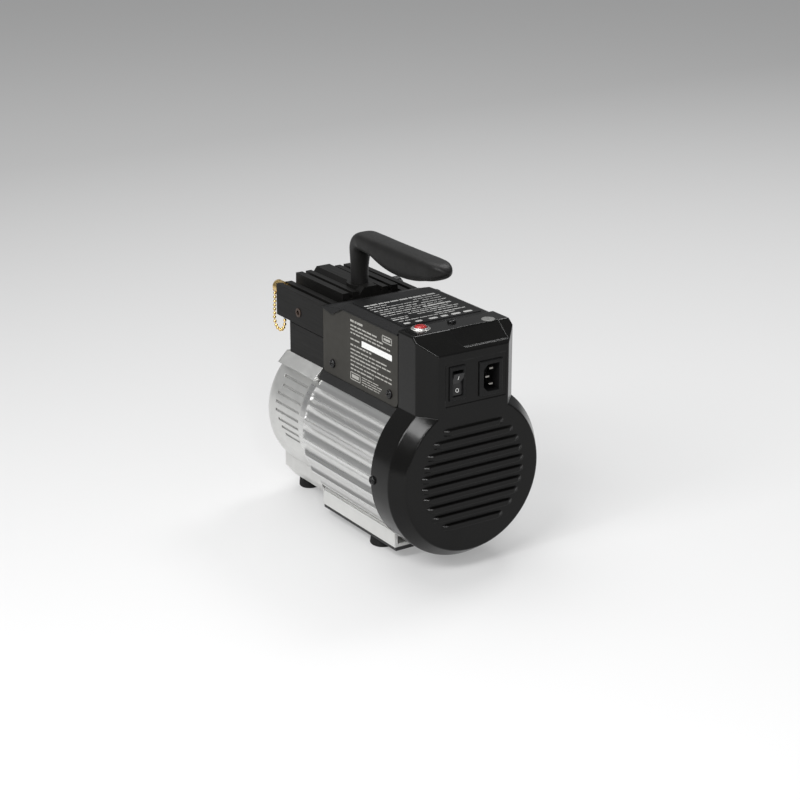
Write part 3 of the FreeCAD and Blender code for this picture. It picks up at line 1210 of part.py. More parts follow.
def chain_points():
    """Bead centres, hung as a U in the plane of the cap's tag, from the tag to the eye."""
    y0 = CAP_Y1 - BEAD_R
    y1 = CHAIN_ANCHOR_Y
    radius = (y0 - y1) / 2
    low = CHAIN_LOW_Z + radius
    top = CHAIN_TOP_Z - BEAD_R - SEAT_GAP
    anchor = BLOCK_Z0 - 2 * EYE_R - BEAD_R - SEAT_GAP
    runs = [top - low, math.pi * radius, anchor - low]
    count = round(sum(runs) / BEAD_PITCH)
    points = []
    for i in range(count + 1):
        s = sum(runs) * i / count
        if s < runs[0]:
            y, z = y0, top - s
        elif s < runs[0] + runs[1]:
            angle = (s - runs[0]) / radius
            y, z = y0 - radius * (1 - math.cos(angle)), low - radius * math.sin(angle)
        else:
            y, z = y1, low + s - runs[0] - runs[1]
        points.append(Vector(CHAIN_X, y, z))
    return points


def bead_chain():
    points = chain_points()
    beads = [Part.makeSphere(BEAD_R, p) for p in points]
    links = [Part.makeCylinder(LINK_R, (b - a).Length, a, b - a) for a, b in zip(points, points[1:])]
    return joined(beads + links)


def chain_eye():
    """Small eye screwed into the underside of the intake block."""
    z = BLOCK_Z0 - EYE_R
    x0, x1 = CHAIN_X - EYE_T / 2, CHAIN_X + EYE_T / 2
    disc = cross_bar(EYE_R, x0, x1, CHAIN_ANCHOR_Y, z)
    stem = post(EYE_R / 2 - SLIDE_GAP, z, BLOCK_Z0 + EYE_LEN, CHAIN_X, CHAIN_ANCHOR_Y)
    return joined([disc, stem]).cut(cross_bar(EYE_HOLE_R, x0 - 1, x1 + 1, CHAIN_ANCHOR_Y, z))


# ---------------------------------------------------------------- gas ballast, fill, glass and drain
def turned_to_x(shape, y, z):
    """Turn a shape about a vertical line so that +Y becomes +X."""
    copy = shape.copy()
    copy.rotate(Vector(0, y, z), Vector(0, 0, 1), -90)
    return copy


def ballast_valve():
    y0 = BALLAST_Y + BLOCK_HALF_W
    body = joined([hexagon(BALLAST_AF, y0, y0 + BALLAST_HEX_LEN, 0, BALLAST_Z),
                   rod(BALLAST_R, y0 - PLUG_LEN + SEAT_GAP, y0, 0, BALLAST_Z),
                   rod(COLLAR_R, y0, y0 + BALLAST_KNOB_LEN - KNOB_CAP_T, 0, BALLAST_Z)])
    return turned_to_x(body, BALLAST_Y, BALLAST_Z)


def ballast_knob():
    y0 = BALLAST_Y + BLOCK_HALF_W + BALLAST_HEX_LEN + SEAT_GAP
    y1 = y0 + BALLAST_KNOB_LEN
    knob = rounded(rod(BALLAST_KNOB_R, y0, y1, 0, BALLAST_Z), KNOB_EDGE_R, lambda p: p.y > y1 - 0.1)
    knob = fluted(knob, BALLAST_KNOB_R, y0 - 1, y1 + 1, 0, BALLAST_Z)
    knob = knob.cut(rod(COLLAR_R + RUN_GAP, y0 - 1, y1 - KNOB_CAP_T, 0, BALLAST_Z))
    return turned_to_x(knob, BALLAST_Y, BALLAST_Z)


def fill_neck():
    neck = rod(FILL_NECK_R, CASING_END_Y - 2, CASING_Y1 + FILL_NECK_LEN, FILL_X, FILL_Z)
    return neck.cut(rod(FILL_BORE_R, CASING_END_Y - 3, CASING_Y1 + FILL_NECK_LEN + 1, FILL_X, FILL_Z))


def fill_cap():
    y0 = CASING_Y1 + SEAT_GAP
    cap = rod(FILL_CAP_R, y0, FILL_CAP_Y1, FILL_X, FILL_Z)
    cap = rounded(cap, KNOB_EDGE_R, lambda p: p.y > FILL_CAP_Y1 - 0.1)
    cap = fluted(cap, FILL_CAP_R, y0 - 1, FILL_CAP_Y1 + 1, FILL_X, FILL_Z)
    return cap.cut(rod(FILL_NECK_R + SLIDE_GAP, y0 - 1, CASING_Y1 + FILL_NECK_LEN + SEAT_GAP, FILL_X, FILL_Z))


def sight_glass():
    return rod(GLASS_R - SEAT_GAP, CASING_END_Y, CASING_END_Y + GLASS_T, 0, GLASS_Z)


def sight_ring():
    y1 = CASING_Y1 + GLASS_RING_T
    ring = rounded(rod(GLASS_RING_R, CASING_Y1, y1, 0, GLASS_Z), SMALL_EDGE_R, lambda p: p.y > y1 - 0.1)
    return ring.cut([rod(GLASS_R, CASING_Y1 - 1, CASING_END_Y + GLASS_T, 0, GLASS_Z),
                     cone(GLASS_R - GLASS_LIP, GLASS_R, CASING_END_Y + GLASS_T - 0.1, y1 + 0.1, 0, GLASS_Z)])


def drain_body():
    body = joined([hexagon(DRAIN_AF, CASING_Y1, CASING_Y1 + DRAIN_HEX_LEN, 0, DRAIN_Z),
                   rod(DRAIN_R, CASING_END_Y - 1, CASING_Y1, 0, DRAIN_Z),
                   rod(COLLAR_R, CASING_Y1, DRAIN_KNOB_Y1 - KNOB_CAP_T, 0, DRAIN_Z)])
    spout = post(COLLAR_R, DRAIN_Z - DRAIN_AF / 2 - SPOUT_LEN, DRAIN_Z, 0, CASING_Y1 + DRAIN_HEX_LEN / 2)
    return joined([body, spout])


def drain_knob():
    y0 = CASING_Y1 + DRAIN_HEX_LEN + SEAT_GAP
    knob = rod(DRAIN_KNOB_R, y0, DRAIN_KNOB_Y1, 0, DRAIN_Z)
    knob = rounded(knob, KNOB_EDGE_R, lambda p: p.y > DRAIN_KNOB_Y1 - 0.1)
    knob = fluted(knob, DRAIN_KNOB_R, y0 - 1, DRAIN_KNOB_Y1 + 1, 0, DRAIN_Z)
    return knob.cut(rod(COLLAR_R + RUN_GAP, y0 - 1, DRAIN_KNOB_Y1 - KNOB_CAP_T + SEAT_GAP, 0, DRAIN_Z))


# ---------------------------------------------------------------- oil casing
def casing_grooves():
    """Thin level lines down each side of the casing."""
    lines = []
    for height, length in zip(CASING_GROOVE_RISES, CASING_GROOVE_LENS):
        x = math.sqrt(CASING_R ** 2 - height ** 2)
        y0, y1 = CASING_GROOVE_Y0, CASING_GROOVE_Y0 + length
        lines += both_sides(rod(CASING_GROOVE_R, y0, y1, x, AXIS_Z + height))
    return lines


def oil_casing():
    drum = rounded(rod(CASING_R, CASING_Y0, CASING_Y1), CASING_EDGE_R, lambda p: p.y > CASING_Y1 - 0.1)
    shoulder_y1 = SHOULDER_Y0 + SHOULDER_LEN
    root_x = math.sqrt(CASING_R ** 2 - (SHOULDER_ROOT_Z - AXIS_Z) ** 2)
    side = [(root_x, AXIS_Z), (root_x, SHOULDER_ROOT_Z), SHOULDER_LOW, (BLOCK_HALF_W, SHOULDER_TOP_Z)]
    shoulder = prism_y(side + [(-x, z) for x, z in reversed(side)], SHOULDER_Y0, shoulder_y1)
    shoulder = rounded(shoulder, SHOULDER_EDGE_R,
                       lambda p: p.y > shoulder_y1 - 0.1 and p.z > SHOULDER_LOW[1])
    y0, y1 = PEDESTAL_Y
    low = [(PEDESTAL_HALF_W, PEDESTAL_TOP_Z), (PEDESTAL_HALF_W, PEDESTAL_KNEE_Z),
           (PEDESTAL_FOOT_HALF_W, FAR_FOOT_H)]
    pedestal = prism_y(low + [(-x, z) for x, z in reversed(low)], y0, y1)
    shape = joined([drum, shoulder.cut(housing_seat()), pedestal])
    hollow = rounded(rod(CASING_IN_R, CASING_Y0 - 1, CASING_END_Y), CASING_EDGE_R - CAST_WALL,
                     lambda p: p.y > CASING_END_Y - 0.1)
    x, y = FAR_FOOT
    cuts = [hollow,
            rod(CASING_R, MOTOR_Y1 - 1, CASING_Y0),
            rod(GLASS_R, CASING_END_Y - 1, CASING_Y1 + 1, 0, GLASS_Z),
            rod(FILL_NECK_R, CASING_END_Y - 1, CASING_Y1 + 1, FILL_X, FILL_Z),
            rod(DRAIN_R, CASING_END_Y - 1, CASING_Y1 + 1, 0, DRAIN_Z)]
    cuts += both_sides(foot_stem_hole(x, y, FAR_FOOT_H))
    for degrees in CASING_SCREW_DEG:
        sx, sz = polar(CASING_SCREW_R, degrees)
        cuts.append(rod(M5_R + SCREW_GAP, CASING_END_Y - 1, CASING_Y1 + 1, sx, sz))
    return shape.cut(cuts + casing_grooves())


def casing_gasket():
    return tube(CASING_R, CASING_IN_R, MOTOR_Y1, CASING_Y0)


def casing_screws():
    """Four long socket screws through the casing's end wall into the adapter."""
    screws = []
    for degrees in CASING_SCREW_DEG:
        x, z = polar(CASING_SCREW_R, degrees)
        head = rod(M5_HEAD_R, CASING_Y1, CASING_Y1 + M5_HEAD_H, x, z)
        head = rounded(head, M5_EDGE_R, lambda p: p.y > CASING_Y1 + M5_HEAD_H - 0.1)
        socket = rod(M5_SOCKET_R, CASING_Y1 + M5_HEAD_H / 2, CASING_Y1 + M5_HEAD_H + 1, x, z)
        shank = rod(M5_R, ADAPTER_Y0 + ADAPTER_SKIN + THREAD_RUN_OUT, CASING_Y1, x, z)
        screws.append(joined([head.cut(socket), shank]))
    return group(screws)


# ---------------------------------------------------------------- motor inside
def end_bell(y_web, y_hub0, bearing, rim_r):
    """Round plate with a bearing hub and vents."""
    bearing_r, bearing_w = bearing
    web = rod(rim_r, y_web, y_web + BELL_WEB_T)
    hub = rod(bearing_r + BELL_HUB_WALL, y_hub0, y_hub0 + bearing_w)
    vents = []
    for i in range(BELL_VENTS):
        x, z = polar(BELL_VENT_PCR, 360 / BELL_VENTS * (i + 0.5))
        vents.append(rod(BELL_VENT_R, y_web - 1, y_web + BELL_WEB_T + 1, x, z))
    return joined([web, hub]).cut([rod(bearing_r, y_hub0 - BELL_WEB_T, y_hub0 + bearing_w + 1)] + vents)


def rear_end_bell():
    """Plate in the housing's rear mouth, with a rim that the fan cover slips over."""
    bell = end_bell(MOTOR_Y0, REAR_BEARING_Y0, (REAR_BEARING_R, REAR_BEARING_W), HOUSING_BORE_R - SLIDE_GAP)
    rim_r = DRUM_R - PLASTIC_WALL - SEAT_GAP
    rim = tube(rim_r, HOUSING_BORE_R - BELL_WEB_T, MOTOR_Y0 - BELL_RIM_LEN, MOTOR_Y0)
    inside = tube(HOUSING_BORE_R - SLIDE_GAP, HOUSING_BORE_R - BELL_WEB_T, MOTOR_Y0 - 1, MOTOR_Y0 + 1)
    upright = box(-SHROUD_HALF_W, SHROUD_HALF_W, 0, MOTOR_Y0, on_cylinder(HOUSING_R, SHROUD_HALF_W), TOP_Z)
    hole = cross_bar(PAN_SHANK_R, HOUSING_BORE_R, DRUM_R, SHROUD_SCREW_Y, AXIS_Z)
    air_ways = groove_cutters(MOTOR_Y0 - BELL_RIM_LEN - 1)
    return joined([bell, rim.cut(upright), inside]).cut(air_ways + both_sides(hole))


def front_end_bell():
    return end_bell(FRONT_BELL_Y0, FRONT_BEARING_Y0, (FRONT_BEARING_R, FRONT_BEARING_W),
                    HOUSING_BORE_R - SLIDE_GAP)


def bearing_pieces(y0, bearing, shaft_r):
    """Ball bearing: two rings and the loose balls between them."""
    outer_r, width = bearing
    span = outer_r - shaft_r
    ring_t = span * BEARING_SHARE
    ball_r = span / 2 - ring_t - RUN_GAP
    pitch_r = shaft_r + span / 2
    inner = tube(shaft_r + ring_t, shaft_r + RUN_GAP, y0, y0 + width)
    outer = tube(outer_r, outer_r - ring_t, y0, y0 + width)
    balls = []
    for i in range(BEARING_BALLS):
        x, z = polar(pitch_r, 360 / BEARING_BALLS * i)
        balls.append(Part.makeSphere(ball_r, Vector(x, y0 + width / 2, z)))
    return [inner, outer] + balls


def bearings():
    rear = bearing_pieces(REAR_BEARING_Y0, (REAR_BEARING_R, REAR_BEARING_W), SHAFT_REAR_R)
    front = bearing_pieces(FRONT_BEARING_Y0, (FRONT_BEARING_R, FRONT_BEARING_W), SHAFT_FRONT_R)
    return group(rear + front)


def motor_shaft():
    shoulder = REAR_BEARING_Y0 + REAR_BEARING_W + SEAT_GAP
    rear = rod(SHAFT_REAR_R, SHAFT_Y0, shoulder)
    middle = rod(SHAFT_MID_R, shoulder, FRONT_BEARING_Y0 - SEAT_GAP)
    front = rod(SHAFT_FRONT_R, FRONT_BEARING_Y0 - SEAT_GAP, JAW_Y0)
    return joined([rear, middle, front])


def winding_bars(radius):
    """Round bars through the stator's slots."""
    bars = []
    for i in range(WINDING_SLOTS):
        x, z = polar(STATOR_BORE_R + WINDING_SLOT_DEPTH, 360 / WINDING_SLOTS * i)
        bars.append(rod(radius, STATOR_Y0 - 1, STATOR_Y1 + 1, x, z))
    return bars


def stator_core():
    core = tube(HOUSING_BORE_R - SLIDE_GAP, STATOR_BORE_R, STATOR_Y0, STATOR_Y1)
    return core.cut(winding_bars(WINDING_SLOT_R))


def windings():
    """End turns at both ends of the core, and the coil sides through its slots."""
    ends = []
    for y0 in (STATOR_Y0 - COIL_LEN, STATOR_Y1):
        ring = tube(COIL_OUT_R, COIL_IN_R, y0, y0 + COIL_LEN)
        ends.append(rounded(ring, COIL_EDGE_R, lambda p: not STATOR_Y0 - 1 < p.y < STATOR_Y1 + 1))
    return joined(ends + winding_bars(WINDING_SLOT_R - SLIDE_GAP))


def rotor_cage():
    """Laminated rotor with its end rings."""
    y0, y1 = STATOR_Y0 - END_RING_LEN, STATOR_Y1 + END_RING_LEN
    body = rod(ROTOR_R, STATOR_Y0, STATOR_Y1)
    rings = rod(ROTOR_R - END_RING_DROP, y0, y1)
    return joined([body, rings]).cut(rod(SHAFT_MID_R, y0 - 1, y1 + 1))


def cooling_fan():
    """Hub, back plate and straight blades on the rear end of the shaft."""
    y0, y1 = FAN_Y0, FAN_Y0 + FAN_LEN
    hub = rod(FAN_HUB_R, y0, y1)
    plate = rod(FAN_R, y1 - FAN_PLATE_T, y1)
    blades = []
    for i in range(FAN_BLADES):
        blade = box(FAN_HUB_R - 1, FAN_R, y0 + BLADE_BACK, y1, AXIS_Z - BLADE_T / 2, AXIS_Z + BLADE_T / 2)
        blades.append(around(blade, 360 / FAN_BLADES * i))
    return joined([hub, plate] + blades).cut(rod(SHAFT_REAR_R, y0 - 1, y1 + 1))


def sector(radius, y0, y1, start, sweep):
    wedge = Part.makeCylinder(radius, y1 - y0, Vector(0, y0, AXIS_Z), Vector(0, 1, 0), sweep)
    return around(wedge, start)


def coupling_hub(y_disc, y_jaw0, y_jaw1, start, bore_r, y0, y1):
    disc = rod(HUB_R, y_disc, y_disc + HUB_DISC_T)
    jaws = [sector(HUB_R, y_jaw0, y_jaw1, start + 360 / JAW_COUNT * i, JAW_DEG) for i in range(JAW_COUNT)]
    core = rod(HUB_CORE_R, y_jaw0 - 1, y_jaw1 + 1)
    jaws = [jaw.cut(core) for jaw in jaws]
    return joined([disc] + jaws).cut(rod(bore_r, y0, y1))


def coupling():
    """Two jaw hubs with a rubber spider's room between them."""
    motor_hub = coupling_hub(HUB_Y0, JAW_Y0, JAW_Y1 - SEAT_GAP, 0, SHAFT_FRONT_R, HUB_Y0 - 1, JAW_Y0)
    pump_hub = coupling_hub(JAW_Y1, JAW_Y0 + SEAT_GAP, JAW_Y1, 180 / JAW_COUNT, JOURNAL_R,
                            JAW_Y1, JAW_Y1 + HUB_DISC_T + 1)
    return group([motor_hub, pump_hub])


def coupling_spider():
    """Rubber star between the jaws."""
    y0, y1 = JAW_Y0 + SEAT_GAP, JAW_Y1 - SEAT_GAP
    star = rod(HUB_CORE_R - SLIDE_GAP, y0, y1)
    legs = []
    pitch = 180 / JAW_COUNT
    gap = pitch - JAW_DEG
    for i in range(2 * JAW_COUNT):
        start = pitch * i - gap + LEG_SLACK_DEG
        legs.append(sector(HUB_R - SEAT_GAP, y0, y1, start, gap - 2 * LEG_SLACK_DEG))
    return joined([star] + legs)


# ---------------------------------------------------------------- vane pump
def stage_stations():
    """Start and end of each stage's cylinder along Y."""
    stations, y = [], PUMP_Y0 + PLATE_T
    for length in STAGE_LENS:
        stations.append((y, y + length))
        y += length + PLATE_T
    return stations


def tie_places():
    return [polar(TIE_PCR, degrees) for degrees in TIE_DEGS]


def pump_end_y():
    return stage_stations()[-1][1] + PLATE_T


def pump_adapter():
    """Plate between motor and pump: a spigot in the housing and a seat for the pump."""
    spigot = rod(FRONT_BORE_R - SLIDE_GAP, ADAPTER_Y0, MOTOR_Y1)
    seat = rod(ADAPTER_R, MOTOR_Y1, ADAPTER_Y1)
    cuts = [rod(SEAL_R, ADAPTER_Y0 - 1, ADAPTER_Y0 + SEAL_LEN),
            rod(JOURNAL_R + RUN_GAP, ADAPTER_Y0, ADAPTER_Y1 + 1)]
    cuts += [rod(TIE_R, ADAPTER_Y1 - TIE_THREAD_LEN - THREAD_RUN_OUT, ADAPTER_Y1 + 1, x, z)
             for x, z in tie_places()]
    for degrees in CASING_SCREW_DEG:
        x, z = polar(CASING_SCREW_R, degrees)
        cuts.append(rod(M5_R, ADAPTER_Y0 + ADAPTER_SKIN, ADAPTER_Y1 + 1, x, z))
    return joined([spigot, seat]).cut(cuts)


def shaft_seal():
    return tube(SEAL_R, JOURNAL_R + RUN_GAP, ADAPTER_Y0, ADAPTER_Y0 + SEAL_LEN - SEAT_GAP)


def stage_cylinders():
    """The two stages' cylinders; each bore is set below the shaft so that the rotor seals at the top."""
    cylinders = []
    for y0, y1 in stage_stations():
        block = rod(PUMP_R, y0, y1)
        flat = box(-PUMP_R, PUMP_R, y0 - 1, y1 + 1, AXIS_Z + VALVE_FLAT, AXIS_Z + PUMP_R)
        middle = (y0 + y1) / 2
        cuts = [rod(BORE_R, y0 - 1, y1 + 1, 0, AXIS_Z - ECCENTRICITY), flat,
                post(PORT_HOLE_R, AXIS_Z + VANE_ROTOR_R / 2, AXIS_Z + PUMP_R, PORT_HOLE_X, middle)]
        cuts += [rod(TIE_R + SCREW_GAP, y0 - 1, y1 + 1, x, z) for x, z in tie_places()]
        cylinders.append(block.cut(cuts))
    return group(cylinders)


def pump_plates():
    """Rear, middle and end plate of the pump."""
    starts = [PUMP_Y0] + [y1 for y0, y1 in stage_stations()]
    plates = []
    for y0 in starts:
        holes = [rod(TIE_R + SCREW_GAP, y0 - 1, y0 + PLATE_T + 1, x, z) for x, z in tie_places()]
        bore = rod(JOURNAL_R + RUN_GAP, y0 - 1, y0 + PLATE_T + 1)
        plates.append(rod(PUMP_R, y0, y0 + PLATE_T).cut(holes + [bore]))
    return group(plates)


def slot_block(y0, y1):
    return box(-VANE_ROTOR_R - 1, VANE_ROTOR_R + 1, y0, y1, AXIS_Z - VANE_T / 2 - SLIDE_GAP,
               AXIS_Z + VANE_T / 2 + SLIDE_GAP)


def pump_rotor():
    """Shaft with a slotted rotor in each stage."""
    shape = rod(JOURNAL_R, JAW_Y1, pump_end_y())
    for y0, y1 in stage_stations():
        shape = joined([shape, rod(VANE_ROTOR_R, y0 + END_GAP, y1 - END_GAP)])
        shape = shape.cut(slot_block(y0 + END_GAP, y1 - END_GAP))
    return shape


def vane(stage, side):
    """One sliding vane at rest, flush with its rotor; side is -1 or 1."""
    y0, y1 = stage_stations()[stage]
    y0, y1 = y0 + END_GAP + SLIDE_GAP, y1 - END_GAP - SLIDE_GAP
    z0, z1 = AXIS_Z - VANE_T / 2, AXIS_Z + VANE_T / 2
    blade = box(SPRING_ROOM, VANE_ROTOR_R + 1, y0, y1, z0, z1).common(rod(VANE_ROTOR_R, y0, y1))
    return blade if side > 0 else mirrored(blade)


def vane_springs():
    """Two springs between each stage's pair of vanes, shown as plain bars of their outer size."""
    reach = SPRING_ROOM - SLIDE_GAP
    springs = []
    for y0, y1 in stage_stations():
        for share in SPRING_PLACES:
            springs.append(cross_bar(SPRING_R, -reach, reach, y0 + (y1 - y0) * share, AXIS_Z))
    return group(springs)


def tie_bolts():
    y1 = pump_end_y()
    bolts = []
    for x, z in tie_places():
        head = rod(TIE_HEAD_R, y1, y1 + TIE_HEAD_H, x, z)
        shank = rod(TIE_R, ADAPTER_Y1 - TIE_THREAD_LEN, y1, x, z)
        bolts.append(joined([head, shank]))
    return group(bolts)


# ---------------------------------------------------------------- export
PARTS = {
    "motor_housing": motor_housing, "base_rails": base_rail, "base_plate": base_plate,
    "rubber_feet": rubber_feet, "rear_shroud": rear_shroud, "cover_screws": cover_screws,
    "electrical_box": electrical_box, "side_panels": side_panels, "box_gasket": box_gasket,
    "top_cover": top_cover, "switch_body": switch_body, "rocker": rocker, "inlet_body": inlet_body,
    "inlet_pins": inlet_pins, "breaker_body": breaker_body, "breaker_nut": breaker_nut,
    "reset_button": reset_button, "intake_block": intake_block, "valve_block": valve_block,
    "side_plug": side_plug, "handle_core": handle_core, "handle_grip": handle_grip,
    "flare_fitting": flare_fitting, "flare_cap": flare_cap, "bead_chain": bead_chain,
    "chain_eye": chain_eye, "ballast_valve": ballast_valve, "ballast_knob": ballast_knob,
    "fill_neck": fill_neck, "fill_cap": fill_cap, "sight_glass": sight_glass, "sight_ring": sight_ring,
    "drain_body": drain_body, "drain_knob": drain_knob, "oil_casing": oil_casing,
    "casing_gasket": casing_gasket, "casing_screws": casing_screws, "stator_core": stator_core,
    "windings": windings, "rotor_cage": rotor_cage, "motor_shaft": motor_shaft, "bearings": bearings,
    "rear_end_bell": rear_end_bell, "front_end_bell": front_end_bell, "cooling_fan": cooling_fan,
    "run_capacitor": run_capacitor, "terminal_block": terminal_block, "coupling": coupling,
    "coupling_spider": coupling_spider, "pump_adapter": pump_adapter, "shaft_seal": shaft_seal,
    "stage_cylinders": stage_cylinders, "pump_plates": pump_plates, "pump_rotor": pump_rotor,
    "vane_one_left": lambda: vane(0, -1), "vane_one_right": lambda: vane(0, 1),
    "vane_two_left": lambda: vane(1, -1), "vane_two_right": lambda: vane(1, 1),
    "vane_springs": vane_springs, "tie_bolts": tie_bolts,
}

os.makedirs("parts", exist_ok=True)
for name, make in PARTS.items():
    shape = make()
    shape.translate(Vector(0, -CENTRE_Y, 0))
    shape.exportStep("parts/" + name + ".step")
print(len(PARTS), "parts written")
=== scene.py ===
import json
import math
import random

import bmesh
import bpy
from mathutils import Matrix, Vector
from mathutils.bvhtree import BVHTree


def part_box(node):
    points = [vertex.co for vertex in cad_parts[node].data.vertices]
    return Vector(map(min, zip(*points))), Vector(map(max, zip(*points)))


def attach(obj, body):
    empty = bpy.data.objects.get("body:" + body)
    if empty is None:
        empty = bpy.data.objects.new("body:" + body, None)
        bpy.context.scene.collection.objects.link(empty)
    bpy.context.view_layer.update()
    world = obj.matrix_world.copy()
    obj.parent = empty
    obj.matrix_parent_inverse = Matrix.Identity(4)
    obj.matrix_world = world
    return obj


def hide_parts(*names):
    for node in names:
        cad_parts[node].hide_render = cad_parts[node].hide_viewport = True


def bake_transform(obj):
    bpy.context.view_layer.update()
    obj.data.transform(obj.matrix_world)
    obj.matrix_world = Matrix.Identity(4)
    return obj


# The looks of a two-stage rotary vane vacuum pump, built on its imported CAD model.
# Metres. X is across the pump, +Z is up, and +Y runs from the fan cover to the pump head.

MM = 0.001
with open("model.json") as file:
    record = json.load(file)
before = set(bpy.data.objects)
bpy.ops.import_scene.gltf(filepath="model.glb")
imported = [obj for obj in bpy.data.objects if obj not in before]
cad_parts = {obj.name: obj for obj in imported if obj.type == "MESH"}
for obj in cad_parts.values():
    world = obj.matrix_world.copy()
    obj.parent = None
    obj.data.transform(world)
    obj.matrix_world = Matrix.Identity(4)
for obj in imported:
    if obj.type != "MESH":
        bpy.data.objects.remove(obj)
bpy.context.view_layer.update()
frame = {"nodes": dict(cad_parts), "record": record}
NODES = frame["nodes"]
SLOT_OF = {row["node"]: row["material_slot"] for row in frame["record"]["subparts"]}


# ---------------------------------------------------------------- places taken from the frame
LOUVER_PROUD = 3.0 * MM                                         # louvers stand out of the end face
REAR_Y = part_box("rear_shroud")[0].y + LOUVER_PROUD              # the fan cover's end face
TOP_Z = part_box("intake_block")[1].z                             # top of the fins and the fan cover
PANEL_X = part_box("side_panels")[0].x                            # outside of the left side panel
LID_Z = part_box("top_cover")[1].z                                # the lid's raised field


def bench(y_mm):
    """Y in the frame of a distance in mm from the fan cover's end face."""
    return REAR_Y + y_mm * MM


# ---------------------------------------------------------------- node materials
def new_material(name):
    material = bpy.data.materials.new(name)
    material.use_nodes = True
    tree = material.node_tree
    shader = tree.nodes["Principled BSDF"]
    return material, tree, shader


def add(tree, kind, **settings):
    """A node with its settings; a setting that isn't the node's own sets the socket of that name."""
    node = tree.nodes.new(kind)
    for key, value in settings.items():
        if hasattr(node, key):
            setattr(node, key, value)
        else:
            node.inputs[key].default_value = value
    return node


def noise(tree, scale, detail=3.0, stretch=(1, 1, 1)):
    """Noise over the object's own coordinates, which are metres; scale is features per metre."""
    place = add(tree, "ShaderNodeTexCoord")
    mapping = add(tree, "ShaderNodeMapping")
    mapping.inputs["Scale"].default_value = stretch
    field = add(tree, "ShaderNodeTexNoise", Scale=scale, Detail=detail)
    tree.links.new(place.outputs["Object"], mapping.inputs["Vector"])
    tree.links.new(mapping.outputs["Vector"], field.inputs["Vector"])
    return field.outputs["Fac"]


def spread(tree, value, low, high, start=0.3, end=0.7):
    """A value between start and end mapped onto low to high, and held there outside."""
    ramp = add(tree, "ShaderNodeMapRange")
    ramp.inputs["From Min"].default_value = start
    ramp.inputs["From Max"].default_value = end
    ramp.inputs["To Min"].default_value = low
    ramp.inputs["To Max"].default_value = high
    tree.links.new(value, ramp.inputs["Value"])
    return ramp.outputs["Result"]


def mixed(tree, share, first, second):
    """Colour between two colours; each is a tuple or an output."""
    mix = add(tree, "ShaderNodeMix", data_type="RGBA")
    tree.links.new(share, mix.inputs[0])
    for socket, colour in ((mix.inputs[6], first), (mix.inputs[7], second)):
        if isinstance(colour, tuple):
            socket.default_value = (*colour, 1)
        else:
            tree.links.new(colour, socket)
    return mix.outputs[2]


def finish(name, colour, rough, metallic=0.0, specular=0.5, tint=0.12, tint_scale=40, patch=0.06,
           patch_scale=120, grains=(), edge_mm=0.0, stretch=(1, 1, 1), crevice_shade=None):
    """Principled material: colour and roughness that vary over the surface, soft edges, and grain.
    Each grain is its scale in features per metre and its height in mm; the last argument is the reach in mm
    and the darkest share of the colour for painted shade, which ambient occlusion lays in narrow places."""
    material, tree, shader = new_material(name)
    pale = tuple(min(c * (1 + tint), 1) for c in colour)
    deep = tuple(c * (1 - tint) for c in colour)
    cloud = noise(tree, tint_scale, stretch=stretch)
    tone = mixed(tree, spread(tree, cloud, 0, 1), deep, pale)
    # Painted shade: ambient occlusion darkens the colour in grooves and narrow places, where shade falls.
    if crevice_shade:
        shade_occlusion = add(tree, "ShaderNodeAmbientOcclusion", samples=6)
        shade_occlusion.inputs["Distance"].default_value = crevice_shade[0] * MM
        painted_shade_colour = tuple(c * crevice_shade[1] for c in colour)
        tone = mixed(tree, spread(tree, shade_occlusion.outputs["AO"], 0, 1, 0.25, 0.85), painted_shade_colour, tone)
    tree.links.new(tone, shader.inputs["Base Color"])
    haze = noise(tree, patch_scale, 5.0, stretch)
    tree.links.new(spread(tree, haze, rough - patch, rough + patch), shader.inputs["Roughness"])
    shader.inputs["Metallic"].default_value = metallic
    shader.inputs["Specular IOR Level"].default_value = specular
    normal = None
    if edge_mm:
        soft = add(tree, "ShaderNodeBevel", samples=8)
        soft.inputs["Radius"].default_value = edge_mm * MM
        normal = soft.outputs["Normal"]
    for scale, height in grains:
        bump = add(tree, "ShaderNodeBump", Strength=1.0)
        bump.inputs["Distance"].default_value = height * MM
        tree.links.new(noise(tree, scale, 2.0, stretch), bump.inputs["Height"])
        if normal:
            tree.links.new(normal, bump.inputs["Normal"])
        normal = bump.outputs["Normal"]
    if normal:
        tree.links.new(normal, shader.inputs["Normal"])
    return material


def cast_aluminium():
    # Painted shade darkens the colour in its crevices.
    return finish("cast_aluminium", (0.63, 0.63, 0.615), 0.40, 0.85, tint=0.05, tint_scale=70, patch=0.06,
                  patch_scale=240, grains=((2600, 0.02), (700, 0.015)), edge_mm=0.5, crevice_shade=(4, 0.25))


def drawn_aluminium():
    """The fluted housing: faint streaks of tone along the flutes over a satin metal."""
    # Painted shade darkens the colour in the flutes' crevices.
    return finish("drawn_aluminium", (0.67, 0.67, 0.66), 0.30, 0.97, tint=0.09, tint_scale=420, patch=0.06,
                  patch_scale=300, edge_mm=0.35, stretch=(1, 0.012, 1), crevice_shade=(5, 0.15))


def pale_aluminium():
    return finish("pale_aluminium", (0.60, 0.60, 0.585), 0.42, 0.35, tint=0.04, patch=0.05,
                  grains=((3000, 0.012),), edge_mm=0.4)


def black_shroud():
    return finish("black_shroud", (0.0040, 0.0039, 0.0037), 0.17, specular=0.18, tint=0.12, tint_scale=25,
                  patch=0.03, patch_scale=90, grains=((700, 0.002),), edge_mm=1.2)


def black_lid():
    return finish("black_lid", (0.0065, 0.0065, 0.0067), 0.40, specular=0.12, patch=0.05,
                  grains=((4200, 0.012),), edge_mm=0.5)


def panel_bronze():
    return finish("panel_bronze", (0.034, 0.0325, 0.029), 0.5, specular=0.10, tint=0.07,
                  tint_scale=18, patch=0.05, grains=((3800, 0.008),), edge_mm=0.3)


